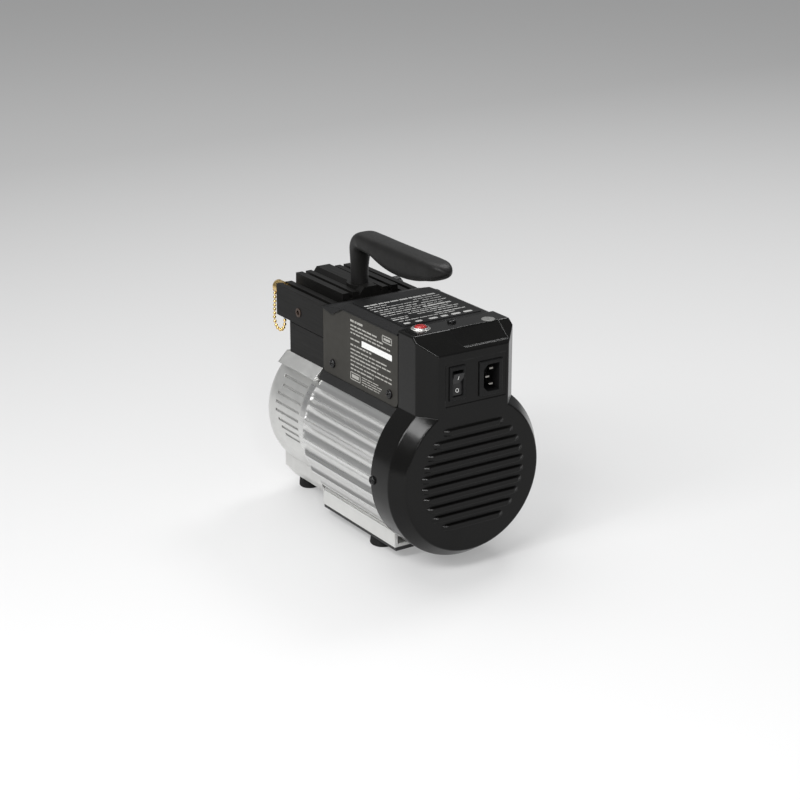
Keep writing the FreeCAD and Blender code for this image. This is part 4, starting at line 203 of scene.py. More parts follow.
def black_anodised():
    return finish("black_anodised", (0.0065, 0.0063, 0.006), 0.38, specular=0.10, tint=0.15,
                  tint_scale=300, patch=0.06, patch_scale=500, grains=((2400, 0.008),), edge_mm=0.35,
                  stretch=(1, 0.06, 1))


def dark_steel():
    return finish("dark_steel", (0.030, 0.030, 0.031), 0.5, 0.2, specular=0.3, grains=((3000, 0.01),),
                  edge_mm=0.3)


def tray_steel():
    return finish("tray_steel", (0.018, 0.018, 0.0185), 0.5, specular=0.25, grains=((3000, 0.01),),
                  edge_mm=0.3)


def foot_rubber():
    """Matt black rubber with pale dust in its grain."""
    material = finish("foot_rubber", (0.009, 0.009, 0.009), 0.75, specular=0.2, patch=0.08,
                      grains=((1800, 0.05), (600, 0.05)), edge_mm=0.4)
    tree = material.node_tree
    shader = tree.nodes["Principled BSDF"]
    dust = spread(tree, noise(tree, 1500, 6.0), 0, 0.5, 0.62, 0.74)
    under = shader.inputs["Base Color"].links[0].from_socket
    tree.links.new(mixed(tree, dust, under, (0.10, 0.10, 0.095)), shader.inputs["Base Color"])
    return material


def grip_rubber():
    """Moulded rubber: fine pebble grain with a faint bloom."""
    material = finish("grip_rubber", (0.0075, 0.0073, 0.007), 0.42, specular=0.15, tint=0.18, tint_scale=70,
                      patch=0.07, patch_scale=160, grains=((2600, 0.022), (8000, 0.006)))
    shader = material.node_tree.nodes["Principled BSDF"]
    shader.inputs["Sheen Weight"].default_value = 0.03
    shader.inputs["Sheen Roughness"].default_value = 0.5
    return material


def seal_rubber():
    return finish("seal_rubber", (0.012, 0.012, 0.012), 0.7, specular=0.25, grains=((2400, 0.02),))


def black_screw():
    return finish("black_screw", (0.006, 0.006, 0.0062), 0.20, specular=0.3, patch=0.05,
                  grains=((2500, 0.004),), edge_mm=0.15)


def screw_steel():
    return finish("screw_steel", (0.58, 0.58, 0.57), 0.3, 1.0, tint=0.06, grains=((3000, 0.005),),
                  edge_mm=0.2)


def switch_black():
    return finish("switch_black", (0.0075, 0.0075, 0.0077), 0.42, specular=0.15, grains=((4200, 0.010),),
                  edge_mm=0.3)


def rocker_black():
    return finish("rocker_black", (0.010, 0.010, 0.0102), 0.24, specular=0.3, patch=0.04,
                  grains=((1800, 0.003),), edge_mm=0.5)


def pin_nickel():
    return finish("pin_nickel", (0.30, 0.29, 0.27), 0.30, 1.0, tint=0.06, grains=((2800, 0.004),),
                  edge_mm=0.2)


def breaker_black():
    return finish("breaker_black", (0.02, 0.02, 0.02), 0.5, grains=((3600, 0.01),), edge_mm=0.2)


def ring_chrome():
    return finish("ring_chrome", (0.70, 0.69, 0.68), 0.34, 1.0, tint=0.03, patch=0.04, edge_mm=0.2)


def button_red():
    material = finish("button_red", (0.30, 0.004, 0.004), 0.16, specular=0.5, tint=0.10, patch=0.04,
                      grains=((1600, 0.003),), edge_mm=0.4)
    shader = material.node_tree.nodes["Principled BSDF"]
    shader.inputs["Coat Weight"].default_value = 0.5
    shader.inputs["Coat Roughness"].default_value = 0.08
    return material


def brass():
    return finish("brass", (0.74, 0.53, 0.22), 0.26, 1.0, tint=0.12, tint_scale=500, patch=0.08,
                  patch_scale=900, grains=((2600, 0.005),), edge_mm=0.15)


def plug_brown():
    return finish("plug_brown", (0.055, 0.036, 0.027), 0.42, 0.5, tint=0.2, tint_scale=600,
                  grains=((2400, 0.01),), edge_mm=0.2)


def knob_black():
    return finish("knob_black", (0.015, 0.015, 0.0155), 0.45, specular=0.36, grains=((3600, 0.012),),
                  edge_mm=0.4)


def gauge_glass():
    material, tree, shader = new_material("gauge_glass")
    shader.inputs["Base Color"].default_value = (0.93, 0.97, 0.95, 1)
    shader.inputs["Transmission Weight"].default_value = 1.0
    shader.inputs["IOR"].default_value = 1.47
    smear = noise(tree, 300, 4.0)
    tree.links.new(spread(tree, smear, 0.02, 0.07), shader.inputs["Roughness"])
    return material


def ring_nickel():
    return finish("ring_nickel", (0.70, 0.69, 0.66), 0.34, 1.0, tint=0.05, edge_mm=0.2)


def core_steel():
    return finish("core_steel", (0.42, 0.42, 0.43), 0.34, 1.0, tint=0.10, tint_scale=800,
                  grains=((2600, 0.008),), edge_mm=0.2)


def copper_wire():
    return finish("copper_wire", (0.62, 0.26, 0.10), 0.32, 0.9, tint=0.2, tint_scale=900,
                  grains=((1400, 0.08),))


def can_aluminium():
    return finish("can_aluminium", (0.68, 0.68, 0.67), 0.3, 1.0, tint=0.05, grains=((1800, 0.01),),
                  edge_mm=0.3)


def vane_carbon():
    return finish("vane_carbon", (0.05, 0.045, 0.04), 0.5, specular=0.4, tint=0.3, tint_scale=2400,
                  grains=((3000, 0.006),))


def ink_grey():
    """Printed lines, a little uneven, as ink on a rough face is."""
    return finish("ink_grey", (0.30, 0.295, 0.275), 0.55, specular=0.3, tint=0.25, tint_scale=1400,
                  patch=0.05, grains=((3600, 0.006),))


def ink_white():
    return finish("ink_white", (0.66, 0.66, 0.65), 0.5, specular=0.3, tint=0.06, tint_scale=900,
                  grains=((3600, 0.006),))


def ink_lid():
    return finish("ink_lid", (0.36, 0.36, 0.35), 0.5, specular=0.3, tint=0.25, tint_scale=1800,
                  patch=0.05, grains=((3600, 0.006),))


def plug_grey():
    return finish("plug_grey", (0.13, 0.13, 0.125), 0.45, specular=0.35, tint=0.08, tint_scale=300,
                  patch=0.05, grains=((2600, 0.008),), edge_mm=0.3)


def oil_amber():
    return finish("oil_amber", (0.56, 0.33, 0.07), 0.12, specular=0.5, tint=0.1, tint_scale=120, patch=0.03,
                  grains=((300, 0.01),))


MATERIALS = {make.__name__: make() for make in (
    cast_aluminium, drawn_aluminium, pale_aluminium, black_shroud, black_lid, panel_bronze, black_anodised,
    dark_steel, tray_steel, foot_rubber, grip_rubber, seal_rubber, black_screw, screw_steel, switch_black,
    rocker_black, pin_nickel, breaker_black, ring_chrome, button_red, brass, plug_brown, knob_black,
    gauge_glass, ring_nickel, core_steel, copper_wire, can_aluminium, vane_carbon, ink_grey, ink_white,
    ink_lid, plug_grey, oil_amber)}
OWN_FINISH = {"motor_housing": "drawn_aluminium", "base_rails": "pale_aluminium"}


def dress_frame():
    """Give every CAD node the finish of its material slot."""
    for name, node in NODES.items():
        material = MATERIALS[OWN_FINISH.get(name, SLOT_OF[name])]
        node.data.materials.clear()
        node.data.materials.append(material)
        for polygon in node.data.polygons:
            polygon.material_index = 0


# ---------------------------------------------------------------- mesh helpers
def piece(name, mesh, material, body, smooth_deg):
    """Object from a bmesh, in one of MATERIALS; it rides on the body where one is named."""
    data = bpy.data.meshes.new(name)
    bmesh.ops.recalc_face_normals(mesh, faces=mesh.faces)
    mesh.to_mesh(data)
    mesh.free()
    data.materials.append(MATERIALS[material])
    obj = bpy.data.objects.new(name, data)
    bpy.context.scene.collection.objects.link(obj)
    if smooth_deg is not None:
        data.shade_smooth()
        data.set_sharp_from_angle(angle=math.radians(smooth_deg))
    if body:
        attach(obj, body)
    return obj


def hit(node, start, direction):
    """Point and normal where a line meets a CAD node."""
    data = NODES[node].data
    tree = BVHTree.FromPolygons([v.co for v in data.vertices], [p.vertices[:] for p in data.polygons])
    point, normal, _, _ = tree.ray_cast(Vector(start), Vector(direction))
    return point, normal


def skin(mesh, rings, close=True):
    """Quads between rings of vertices, each ring closed; the ends are filled if asked."""
    count = len(rings[0])
    for near, far in zip(rings, rings[1:]):
        for i in range(count):
            j = (i + 1) % count
            mesh.faces.new((near[i], near[j], far[j], far[i]))
    if close:
        mesh.faces.new(rings[0])
        mesh.faces.new(rings[-1])


def turned(mesh, profile, centre, axis, steps):
    """Round body turned about a line along Y or Z: profile rows are radius and place along it."""
    rings = []
    for radius, place in profile:
        ring = []
        for i in range(steps):
            angle = 2 * math.pi * i / steps
            u, v = radius * math.cos(angle), radius * math.sin(angle)
            offset = {"Y": (u, place, v), "Z": (u, v, place)}[axis]
            ring.append(mesh.verts.new(Vector(centre) + Vector(offset)))
        rings.append(ring)
    skin(mesh, rings)


def slab(mesh, centre, across, up, half_w, half_h, proud, corner, steps):
    """Thin plate with round corners, standing proud of the plane of across and up and half as deep
    in it; steps are a corner's."""
    out = across.cross(up).normalized()
    loop = []
    for sx, sy, start in ((1, 1, 0), (-1, 1, 90), (-1, -1, 180), (1, -1, 270)):
        for i in range(steps + 1):
            angle = math.radians(start + 90 * i / steps)
            u = sx * (half_w - corner) + corner * math.cos(angle)
            v = sy * (half_h - corner) + corner * math.sin(angle)
            loop.append(centre + across * u + up * v)
    rings = [[mesh.verts.new(point + out * lift) for point in loop] for lift in (-proud / 2, proud)]
    skin(mesh, rings)


# ---------------------------------------------------------------- rubber grip
GRIP_STEM = (       # from the back of the bend and from the top, climb, half depth, half width, squareness
    (-7.0, -49.7, 90, 8.0, 8.0, 2.0), (-7.0, -44.0, 90, 8.0, 8.0, 2.0), (-7.2, -36.0, 90, 8.0, 8.1, 2.1),
    (-7.8, -28.0, 90, 8.2, 8.5, 2.3), (-8.5, -21.0, 90, 8.5, 9.2, 2.5))
GRIP_BEND = 21.0            # outer radius of the bend
GRIP_BEND_TURNS = (22, 45, 68, 90)
GRIP_BEND_HALF_T = 8.5
GRIP_BEND_HALF_W = (9.2, 2.0)       # at its start, and the gain over its quarter turn
GRIP_BEND_SQUARE = (2.5, 0.7)
GRIP_ARM = (        # share of the arm's length, depth
    (0.07, 17.3), (0.15, 18.6), (0.22, 21.6), (0.32, 24.7), (0.42, 26.0), (0.52, 26.1), (0.62, 25.0),
    (0.71, 23.0), (0.79, 20.4))
GRIP_ARM_HALF_W = (11.2, 3)         # at its start, and the gain over its length
GRIP_ARM_SQUARE = 3.2
GRIP_HALF_W = 11.6          # widest
GRIP_NOSE_LEN = 22
GRIP_NOSE = (18.0, 13.5, 10.0, 7.0, 4.6, 2.8, 1.4, 0.5, 0.05)       # rows' distances from the tip
GRIP_NOSE_HALF_T = (9.3, 0.66)      # largest, and the power that rounds it
GRIP_NOSE_MIDDLE = (-7.4, 2.5, 1.3)         # at the tip, its fall over the nose, and the power
GRIP_NOSE_SQUARE = (2.4, 0.8)       # at the tip, and the gain over the nose
GRIP_OUTER_SQUARE = 1.12    # the arm's top and the stem's back are squarer by this
GRIP_LOWER = 0.1            # keeps the moulding's crown below the solid's top
GRIP_STEPS = 5              # steps from one given row to the next
GRIP_SIDES = 56


def grip_rows():
    """Rows from the stem's foot over the bend to the nose, with the columns of GRIP_STEM."""
    low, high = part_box("handle_grip")
    length = (high.y - low.y) / MM - GRIP_BEND
    rows = list(GRIP_STEM)
    reach = GRIP_BEND - GRIP_BEND_HALF_T
    for out in GRIP_BEND_TURNS:
        angle = math.radians(out)
        rows.append((-GRIP_BEND + reach * math.cos(angle), -GRIP_BEND + reach * math.sin(angle), 90 + out,
                     GRIP_BEND_HALF_T, GRIP_BEND_HALF_W[0] + GRIP_BEND_HALF_W[1] * out / 90,
                     GRIP_BEND_SQUARE[0] + GRIP_BEND_SQUARE[1] * out / 90))
    for share, depth in GRIP_ARM:
        rows.append((-GRIP_BEND - share * length, -depth / 2, 180, depth / 2,
                     min(GRIP_HALF_W, GRIP_ARM_HALF_W[0] + share * GRIP_ARM_HALF_W[1]), GRIP_ARM_SQUARE))
    for back in GRIP_NOSE:
        round_ = 1 - ((GRIP_NOSE_LEN - back) / GRIP_NOSE_LEN) ** 2
        half_t = GRIP_NOSE_HALF_T[0] * round_ ** GRIP_NOSE_HALF_T[1]
        tip, fall, power = GRIP_NOSE_MIDDLE
        centre = tip - fall * (back / GRIP_NOSE_LEN) ** power
        rows.append((-GRIP_BEND - length + back, centre, 180, half_t, GRIP_HALF_W * round_ ** 0.5,
                     GRIP_NOSE_SQUARE[0] + GRIP_NOSE_SQUARE[1] * round_))
    return rows


def between_rows(rows, steps):
    """Rows along the Catmull-Rom curve through the given rows."""
    result = []
    for i in range(len(rows) - 1):
        p0, p1 = rows[max(i - 1, 0)], rows[i]
        p2, p3 = rows[i + 1], rows[min(i + 2, len(rows) - 1)]
        for k in range(steps):
            t = k / steps
            result.append(tuple(
                0.5 * (2 * b + (c - a) * t + (2 * a - 5 * b + 4 * c - d) * t * t
                       + (3 * b - a - 3 * c + d) * t ** 3)
                for a, b, c, d in zip(p0, p1, p2, p3)))
    result.append(rows[-1])
    return result


def rubber_grip():
    """One smooth moulding: round stem, tight bend, deep belly and a round nose."""
    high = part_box("handle_grip")[1]
    mesh = bmesh.new()
    rings = []
    for y, z, climb, half_t, half_w, square in between_rows(grip_rows(), GRIP_STEPS):
        angle = math.radians(climb)
        inward = Vector((0, -math.sin(angle), math.cos(angle)))
        centre = Vector((0, high.y + y * MM, high.z + (z - GRIP_LOWER) * MM))
        ring = []
        for i in range(GRIP_SIDES):
            turn = 2 * math.pi * (i + 0.5) / GRIP_SIDES
            c, d = math.cos(turn), math.sin(turn)
            power = 2 / (square if d > 0 else square * GRIP_OUTER_SQUARE)
            u = math.copysign(abs(c) ** power, c) * half_w * MM
            v = math.copysign(abs(d) ** power, d) * half_t * MM
            ring.append(mesh.verts.new(centre + Vector((u, 0, 0)) + inward * v))
        rings.append(ring)
    skin(mesh, rings)
    grip = piece("rubber_grip", mesh, "grip_rubber", "pump", 60)
    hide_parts("handle_grip")


# ---------------------------------------------------------------- bead chain
BEAD_R = 1.6 * MM
BEAD_PITCH = 3.9 * MM
LINK_R = 0.42 * MM
CHAIN_INSET = 1.2 * MM      # outer beads' centres inside the solid chain's box
CHAIN_LIFT = 4.2 * MM       # the hang's lowest place above that box's floor
CHAIN_END = 1.5 * MM        # last bead's centre below the eye
CHAIN_BELLY = 0.9 * MM      # bow along X at the middle
CHAIN_SWAY = 0.35 * MM      # waver along Y
CHAIN_WAVE = 2.3            # radians from bead to bead


def chain_line():
    """Bead centres along a hanging U from the cap's tag down and up to the eye."""
    low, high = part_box("bead_chain")
    top_z = high.z - CHAIN_INSET
    eye_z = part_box("chain_eye")[0].z - CHAIN_END
    y0, y1 = high.y - CHAIN_INSET, low.y + CHAIN_INSET
    radius = (y0 - y1) / 2
    bottom = low.z + CHAIN_LIFT + radius
    runs = (top_z - bottom, math.pi * radius, eye_z - bottom)
    count = round(sum(runs) / BEAD_PITCH)
    points = []
    for i in range(count + 1):
        s = sum(runs) * i / count
        sag = math.sin(math.pi * i / count)
        if s < runs[0]:
            y, z = y0, top_z - s
        elif s < runs[0] + runs[1]:
            angle = (s - runs[0]) / radius
            y, z = y0 - radius * (1 - math.cos(angle)), bottom - radius * math.sin(angle)
        else:
            y, z = y1, bottom + s - runs[0] - runs[1]
        sway = CHAIN_SWAY * math.sin(CHAIN_WAVE * i) * sag
        points.append(Vector(((low.x + high.x) / 2 - CHAIN_BELLY * sag, y + sway, z)))
    return points


def ball_chain():
    """Beads on thin links, hanging from the cap that comes off to the eye that stays."""
    mesh = bmesh.new()
    points = chain_line()
    for point in points:
        bmesh.ops.create_uvsphere(mesh, u_segments=16, v_segments=10, radius=BEAD_R,
                                  matrix=Matrix.Translation(point))
    for start, end in zip(points, points[1:]):
        aim = (end - start).to_track_quat("Z", "Y").to_matrix().to_4x4()
        bmesh.ops.create_cone(mesh, segments=10, radius1=LINK_R, radius2=LINK_R,
                              depth=(end - start).length,
                              matrix=Matrix.Translation((start + end) / 2) @ aim)
    chain = piece("ball_chain", mesh, "brass", None, 50)
    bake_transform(chain)
    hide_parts("bead_chain")


# ---------------------------------------------------------------- printed fields and marks
INK = 0.03 * MM             # how far print stands proud
BLANK_INK = 0.04 * MM
INK_STEPS = 2               # of a printed corner
DASH_LENGTHS = (3.0, 9.0)   # mm, as the next three
DASH_GAPS = (0.7, 1.4)
DASH_LEAST = 1.5            # room that one more dash needs
DASH_CORNER = 0.25
DASH_ROUND = 0.45           # a corner's largest share of the half height


def dashes(mesh, start, end, centre, half_h, across, up, seed):
    """One printed row: dashes of uneven length between two places, as plain bars."""
    rng = random.Random(seed)
    place = start
    while place < end - DASH_LEAST:
        length = min(rng.uniform(*DASH_LENGTHS), end - place)
        middle_u = place + length / 2
        slab(mesh, centre + across * (middle_u * MM), across, up, length / 2 * MM, half_h * MM,
             INK, min(DASH_CORNER, half_h * DASH_ROUND) * MM, INK_STEPS)
        place += length + rng.uniform(*DASH_GAPS)


PANEL_ROWS = (      # height above the floor in mm, first and last place along Y, half height
    (205.0, 95, 116.3, 1.0), (200.8, 73.5, 116.3, 0.7), (197.4, 64, 116.3, 0.65), (194.1, 52, 116.3, 0.65),
    (188.4, 99.5, 116.3, 0.7), (183.1, 82.5, 116.3, 0.7), (179.0, 56.7, 116.3, 0.65),
    (175.5, 50.3, 116.3, 0.6), (172.0, 71.3, 116.3, 0.65), (168.5, 50.3, 116.3, 0.6),
    (164.7, 50.3, 116.3, 0.6), (161.1, 78.7, 116.3, 0.65), (157.4, 70, 98, 0.4), (155.2, 66, 98, 0.4),
    (153.0, 68, 98, 0.4), (150.8, 70, 98, 0.4))
PANEL_FRAMES = (    # place along Y, height, half length, half height
    (57.6, 202.4, 7.2, 2.7), (108.6, 154.4, 7.8, 3.2))
PANEL_BLANK = (73.9, 188.2, 24, 2.7)        # the same columns
PANEL_SEED = 40
FRAME_LINE = 0.45 * MM      # half width of a frame's outline
FRAME_CORNER = 0.15 * MM
FRAME_FIELD = (2, 1.6)      # mm from the outline's line to the field's edge, along and up
FIELD_CORNER = 0.3 * MM
BLANK_STEPS = 3


def panel_print():
    """Rows of plain bars and blank fields on the left side panel, in grey ink."""
    across, up = Vector((0, -1, 0)), Vector((0, 0, 1))
    mesh = bmesh.new()
    for i, (z, near, far, half_h) in enumerate(PANEL_ROWS):
        origin = Vector((PANEL_X, bench(0), z * MM))
        dashes(mesh, -far, -near, origin, half_h, across, up, PANEL_SEED + i)
    for y, z, half_w, half_h in PANEL_FRAMES:
        centre = Vector((PANEL_X, bench(y), z * MM))
        for side in (1, -1):
            slab(mesh, centre + up * (side * half_h * MM), across, up, half_w * MM, FRAME_LINE, INK,
                 FRAME_CORNER, INK_STEPS)
            slab(mesh, centre + across * (side * half_w * MM), across, up, FRAME_LINE, half_h * MM, INK,
                 FRAME_CORNER, INK_STEPS)
        slab(mesh, centre, across, up, (half_w - FRAME_FIELD[0]) * MM, (half_h - FRAME_FIELD[1]) * MM,
             INK, FIELD_CORNER, INK_STEPS)
    piece("panel_print", mesh, "ink_grey", "pump", None)
    mesh = bmesh.new()
    y, z, half_w, half_h = PANEL_BLANK
    slab(mesh, Vector((PANEL_X, bench(y), z * MM)), across, up, half_w * MM, half_h * MM, BLANK_INK,
         FIELD_CORNER, BLANK_STEPS)
    piece("panel_blank", mesh, "ink_white", "pump", None)


LID_ROWS = (        # place along Y in mm, first and last place along X, half height
    (111.0, -39, 36, 1.4), (105.2, -40, -20, 0.7), (105.2, 8, 36, 0.6), (99.6, -40, 10, 0.65),
    (99.6, 14, 34, 0.6), (93.6, -40, 5, 0.9), (93.6, 9, 35, 0.8), (88.4, -38, 30, 0.6), (83.2, -40, 1, 0.9),
    (83.2, 4, 33, 1.5), (77.8, -40, 28, 0.6), (73.4, -18, 34, 0.8), (68.6, -39, -22, 0.6),
    (68.6, -12, 30, 0.6), (64.2, -40, -24, 1.0), (62.6, 2, 34, 0.8), (58.4, -38, 20, 0.6))
LID_FIELDS = (      # place along X in mm, half width
    (-34, 3.2), (-22, 3.4), (-7, 4.4), (4.5, 3.6), (16.5, 4.6), (29, 4.4))
LID_FIELDS_Y = 51.4
LID_FIELD_HALF_H = 1.9 * MM
LID_FIELD_CORNER = 1.6 * MM
LID_FIELD_STEPS = 5
LID_SEED = 80


def lid_print():
    """Rows of plain bars and a row of small blank fields on the lid's raised field."""
    across, up = Vector((1, 0, 0)), Vector((0, 1, 0))
    mesh = bmesh.new()
    for i, (y, first, last, half_h) in enumerate(LID_ROWS):
        dashes(mesh, first, last, Vector((0, bench(y), LID_Z)), half_h, across, up, LID_SEED + i)
    for x, half_w in LID_FIELDS:
        centre = Vector((x * MM, bench(LID_FIELDS_Y), LID_Z))
        slab(mesh, centre, across, up, half_w * MM, LID_FIELD_HALF_H, INK, LID_FIELD_CORNER,
             LID_FIELD_STEPS)
    piece("lid_print", mesh, "ink_lid", "pump", None)


MARK_INSET = 4.6 * MM       # marks' middles from the rocker's ends
MARK_BAR = (0.32 * MM, 1.9 * MM, 0.04 * MM, 0.12 * MM)      # half width, half height, proud, corner
MARK_RING = ((1.9, 0), (1.9, 0.05), (1.35, 0.05), (1.35, 0))        # radius and lift in mm
MARK_OVAL = 0.9             # the ring's width as a share of its height
MARK_SIDES = 36
RAY_BACK = 0.05             # a ray's start in front of the rocker


def switch_marks():
    """Ring and bar on the rocker's two ends."""
    low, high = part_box("rocker")
    x = (low.x + high.x) / 2
    mesh = bmesh.new()
    for z, kind in ((low.z + MARK_INSET, "ring"), (high.z - MARK_INSET, "bar")):
        point, normal = hit("rocker", (x, low.y - RAY_BACK, z), (0, 1, 0))
        across = Vector((1, 0, 0))
        up = normal.cross(across).normalized()
        if across.cross(up).dot(normal) < 0:
            up = -up
        if kind == "bar":
            slab(mesh, point, across, up, *MARK_BAR, INK_STEPS)
            continue
        rings = []
        for radius, lift in MARK_RING:
            ring = []
            for i in range(MARK_SIDES):
                angle = 2 * math.pi * i / MARK_SIDES
                offset = across * (radius * math.cos(angle) * MARK_OVAL) + up * (radius * math.sin(angle))
                ring.append(mesh.verts.new(point + offset * MM + normal * (lift * MM)))
            rings.append(ring)
        skin(mesh, rings, False)
    piece("switch_marks", mesh, "ink_white", "rocker", None)


DISC_PROFILE = (    # radius and height in mm
    (0.5, 0.62), (4.6, 0.60), (5.6, 0.5), (6.0, 0.22), (6.0, -0.2))
DISC_PLACE = (31.4, 24.4)   # along X and Y in mm
ROUND_SIDES = 56


def cover_disc():
    """Small grey plug pressed into the top of the fan cover."""
    mesh = bmesh.new()
    x, y = DISC_PLACE
    turned(mesh, [(r * MM, z * MM) for r, z in DISC_PROFILE], (x * MM, bench(y), TOP_Z), "Z", ROUND_SIDES)
    piece("cover_disc", mesh, "plug_grey", "pump", 40)


WASHER_GAP = 0.05 * MM      # from the nut to its inner edge
WASHER_FLAT = 0.9 * MM      # width of its flat top
WASHER_WIDTH = 1.15 * MM
WASHER_Z = (0.03, 0.16, 0.34)       # mm above the nut's foot: underside, outer edge and top


def button_washer():
    """Bright washer round the breaker's ring nut."""
    low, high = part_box("breaker_nut")
    centre = (low + high) / 2
    inner = (high.x - low.x) / 2 + WASHER_GAP
    outer = inner + WASHER_WIDTH
    under, edge, top = WASHER_Z
    profile = ((inner, under), (inner, top), (inner + WASHER_FLAT, top), (outer, edge), (outer, under))
    mesh = bmesh.new()
    loops = []
    for i in range(ROUND_SIDES):
        angle = 2 * math.pi * i / ROUND_SIDES
        loops.append([mesh.verts.new((centre.x + r * math.cos(angle), centre.y + r * math.sin(angle),
                                      low.z + z * MM)) for r, z in profile])
    for a, b in zip(loops, loops[1:] + loops[:1]):
        for i in range(len(profile)):
            j = (i + 1) % len(profile)
            mesh.faces.new((a[i], b[i], b[j], a[j]))
    piece("button_washer", mesh, "ring_nickel", "pump", 30)


GAUGE_GAP = 0.6 * MM        # oil and wall are this much smaller in radius than the glass
GAUGE_BACK = ((1, -3.4), (1, -3.8), (0.98, -4.0))       # share of that radius, place along Y in mm
GAUGE_SIDES = 48
OIL_SPAN = (0.4 * MM, 3.0 * MM)     # behind the glass's inner face
OIL_SIDES = 32


def gauge_oil():
    """Oil behind the sight glass up to its middle, and the pale wall behind it."""
    low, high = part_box("sight_glass")
    centre = (low + high) / 2
    radius = (high.x - low.x) / 2 - GAUGE_GAP
    mesh = bmesh.new()
    rings = []
    for y in (low.y - OIL_SPAN[0], low.y - OIL_SPAN[1]):
        ring = []
        for i in range(OIL_SIDES + 1):
            angle = math.pi + math.pi * i / OIL_SIDES
            ring.append(mesh.verts.new((centre.x + radius * math.cos(angle), y,
                                        centre.z + radius * math.sin(angle))))
        rings.append(ring)
    skin(mesh, rings)
    piece("gauge_oil", mesh, "oil_amber", "pump", 30)
    mesh = bmesh.new()
    profile = [(radius * share, place * MM) for share, place in GAUGE_BACK]
    turned(mesh, profile, (centre.x, low.y, centre.z), "Y", GAUGE_SIDES)
    piece("gauge_back", mesh, "cast_aluminium", "pump", 30)


# ---------------------------------------------------------------- camera, floor and light
CAMERA_X = -0.9385
CAMERA_Z = 0.7399
CAMERA_BACK = 1.3147        # in front of the fan cover's end face
CAMERA_YAW = 33.3           # degrees, as the next
CAMERA_PITCH = 19.89
CAMERA_CLIP = 0.05
LENS = 91.02                # mm
FLOOR_SIZE = 9.0
FLOOR_CELLS = 8
FLOOR_NEAR_Y, FLOOR_FAR_Y = -0.5, 1.5
FLOOR_NEAR = 0.75           # painted tone of the paper at those two places, darker far off as painted shade of the lamps' falloff
FLOOR_FAR = 0.49
FLOOR_GLOW = 0.42            # share of its tone that glows as painted light and lightens the shadow on it
LAMP_AIM = (0, 0, 0.12)     # about the pump's middle
LAMPS = (           # name, place in metres, size and power in watts
    ("key", (-1.22, -0.66, 1.60), (0.8, 0.55), 22),
    ("side", (-1.50, -0.20, 1.20), (0.5, 0.5), 13),
    ("strip", (-0.80, -1.68, 1.05), (0.14, 1.1), 12),
    ("overhead", (0.0, 0.8, 2.1), (1.8, 1.6), 26),
    ("rim", (1.1, 0.45, 1.8), (0.5, 0.5), 12))
ROOM = 0.28                 # strength of the room's light
ROOM_COLOUR = (0.98, 0.99, 1.0, 1)


def camera():
    """Long lens beyond the fan cover's end, on the left and looking down."""
    data = bpy.data.cameras.new("camera")
    data.lens = LENS
    data.clip_start = CAMERA_CLIP
    obj = bpy.data.objects.new("camera", data)
    obj.location = (CAMERA_X, REAR_Y - CAMERA_BACK, CAMERA_Z)
    obj.rotation_euler = (math.radians(90 - CAMERA_PITCH), 0, math.radians(-CAMERA_YAW))
    bpy.context.scene.collection.objects.link(obj)
    bpy.context.scene.camera = obj


def softbox(name, at, size, power):
    """Rectangular area lamp turned towards the pump's middle."""
    data = bpy.data.lights.new(name, "AREA")
    data.shape = "RECTANGLE"
    data.size, data.size_y = size
    data.energy = power
    obj = bpy.data.objects.new(name, data)
    obj.location = at
    obj.rotation_euler = (Vector(LAMP_AIM) - Vector(at)).to_track_quat("-Z", "Y").to_euler()
    bpy.context.scene.collection.objects.link(obj)


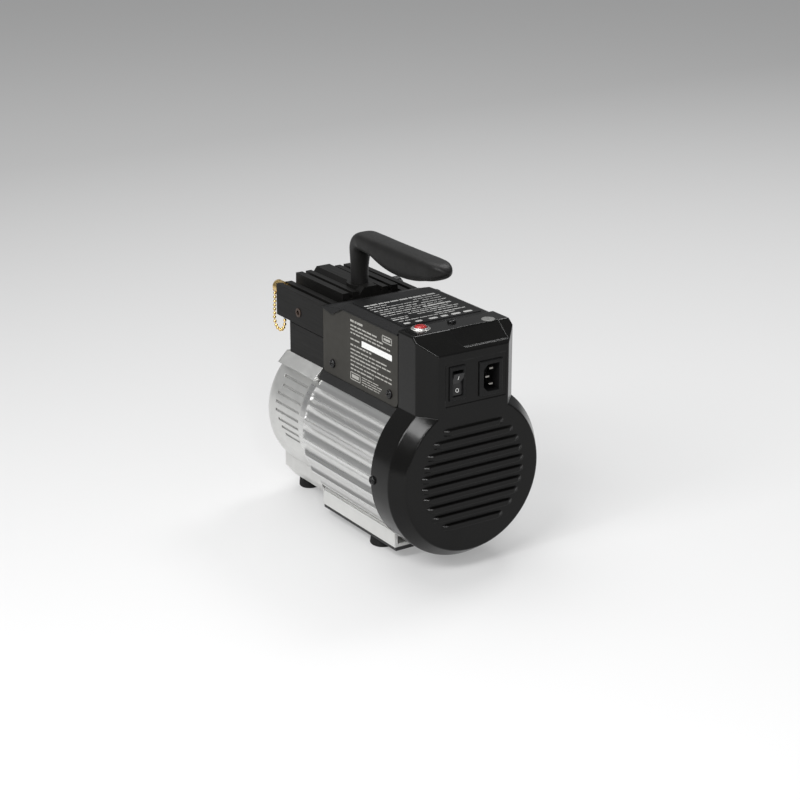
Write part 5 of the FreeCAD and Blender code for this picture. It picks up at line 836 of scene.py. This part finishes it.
def floor():
    """Pale paper whose colour darkens with distance, a painted shade of the lamps' falloff. For the camera,
    reflections and glass a share of its tone is painted light, glowing as emission, so the shadow on it
    stays soft."""
    mesh = bmesh.new()
    bmesh.ops.create_grid(mesh, x_segments=FLOOR_CELLS, y_segments=FLOOR_CELLS, size=FLOOR_SIZE)
    data = bpy.data.meshes.new("floor")
    mesh.to_mesh(data)
    mesh.free()
    obj = bpy.data.objects.new("floor", data)
    bpy.context.scene.collection.objects.link(obj)
    material, tree, shader = new_material("floor_paper")
    place = add(tree, "ShaderNodeTexCoord")
    split = add(tree, "ShaderNodeSeparateXYZ")
    tree.links.new(place.outputs["Object"], split.inputs[0])
    # Painted shade: the paper's colour darkens from near to far in place of the lamps' falloff.
    distance = spread(tree, split.outputs["Y"], 0, 1, FLOOR_NEAR_Y, FLOOR_FAR_Y)
    tone = mixed(tree, distance, (FLOOR_NEAR,) * 3, (FLOOR_FAR,) * 3)
    tree.links.new(tone, shader.inputs["Base Color"])
    shader.inputs["Roughness"].default_value = 0.9
    shader.inputs["Specular IOR Level"].default_value = 0.1
    # Painted light: for camera, glossy and transmission rays part of the paper glows in its own tone,
    # lightening the shadow on it.
    own = add(tree, "ShaderNodeEmission")
    tree.links.new(tone, own.inputs["Color"])
    path = add(tree, "ShaderNodeLightPath")
    seen = path.outputs["Is Camera Ray"]
    for ray in ("Is Glossy Ray", "Is Transmission Ray"):
        either = add(tree, "ShaderNodeMath", operation="MAXIMUM")
        tree.links.new(seen, either.inputs[0])
        tree.links.new(path.outputs[ray], either.inputs[1])
        seen = either.outputs[0]
    share = add(tree, "ShaderNodeMath", operation="MULTIPLY")
    tree.links.new(seen, share.inputs[0])
    share.inputs[1].default_value = FLOOR_GLOW
    both = add(tree, "ShaderNodeMixShader")
    tree.links.new(share.outputs[0], both.inputs[0])
    tree.links.new(shader.outputs[0], both.inputs[1])
    tree.links.new(own.outputs[0], both.inputs[2])
    tree.links.new(both.outputs[0], tree.nodes["Material Output"].inputs["Surface"])
    data.materials.append(material)


def studio():
    """The lamps and a dim, nearly white room."""
    for name, at, size, power in LAMPS:
        softbox(name, at, size, power)
    world = bpy.data.worlds.new("studio")
    world.use_nodes = True
    world.node_tree.nodes["Background"].inputs["Color"].default_value = ROOM_COLOUR
    world.node_tree.nodes["Background"].inputs["Strength"].default_value = ROOM
    bpy.context.scene.world = world
    bpy.context.scene.view_settings.view_transform = "Standard"


# ---------------------------------------------------------------- build
camera()
dress_frame()
rubber_grip()
ball_chain()
panel_print()
lid_print()
switch_marks()
cover_disc()
button_washer()
gauge_oil()
floor()
studio()
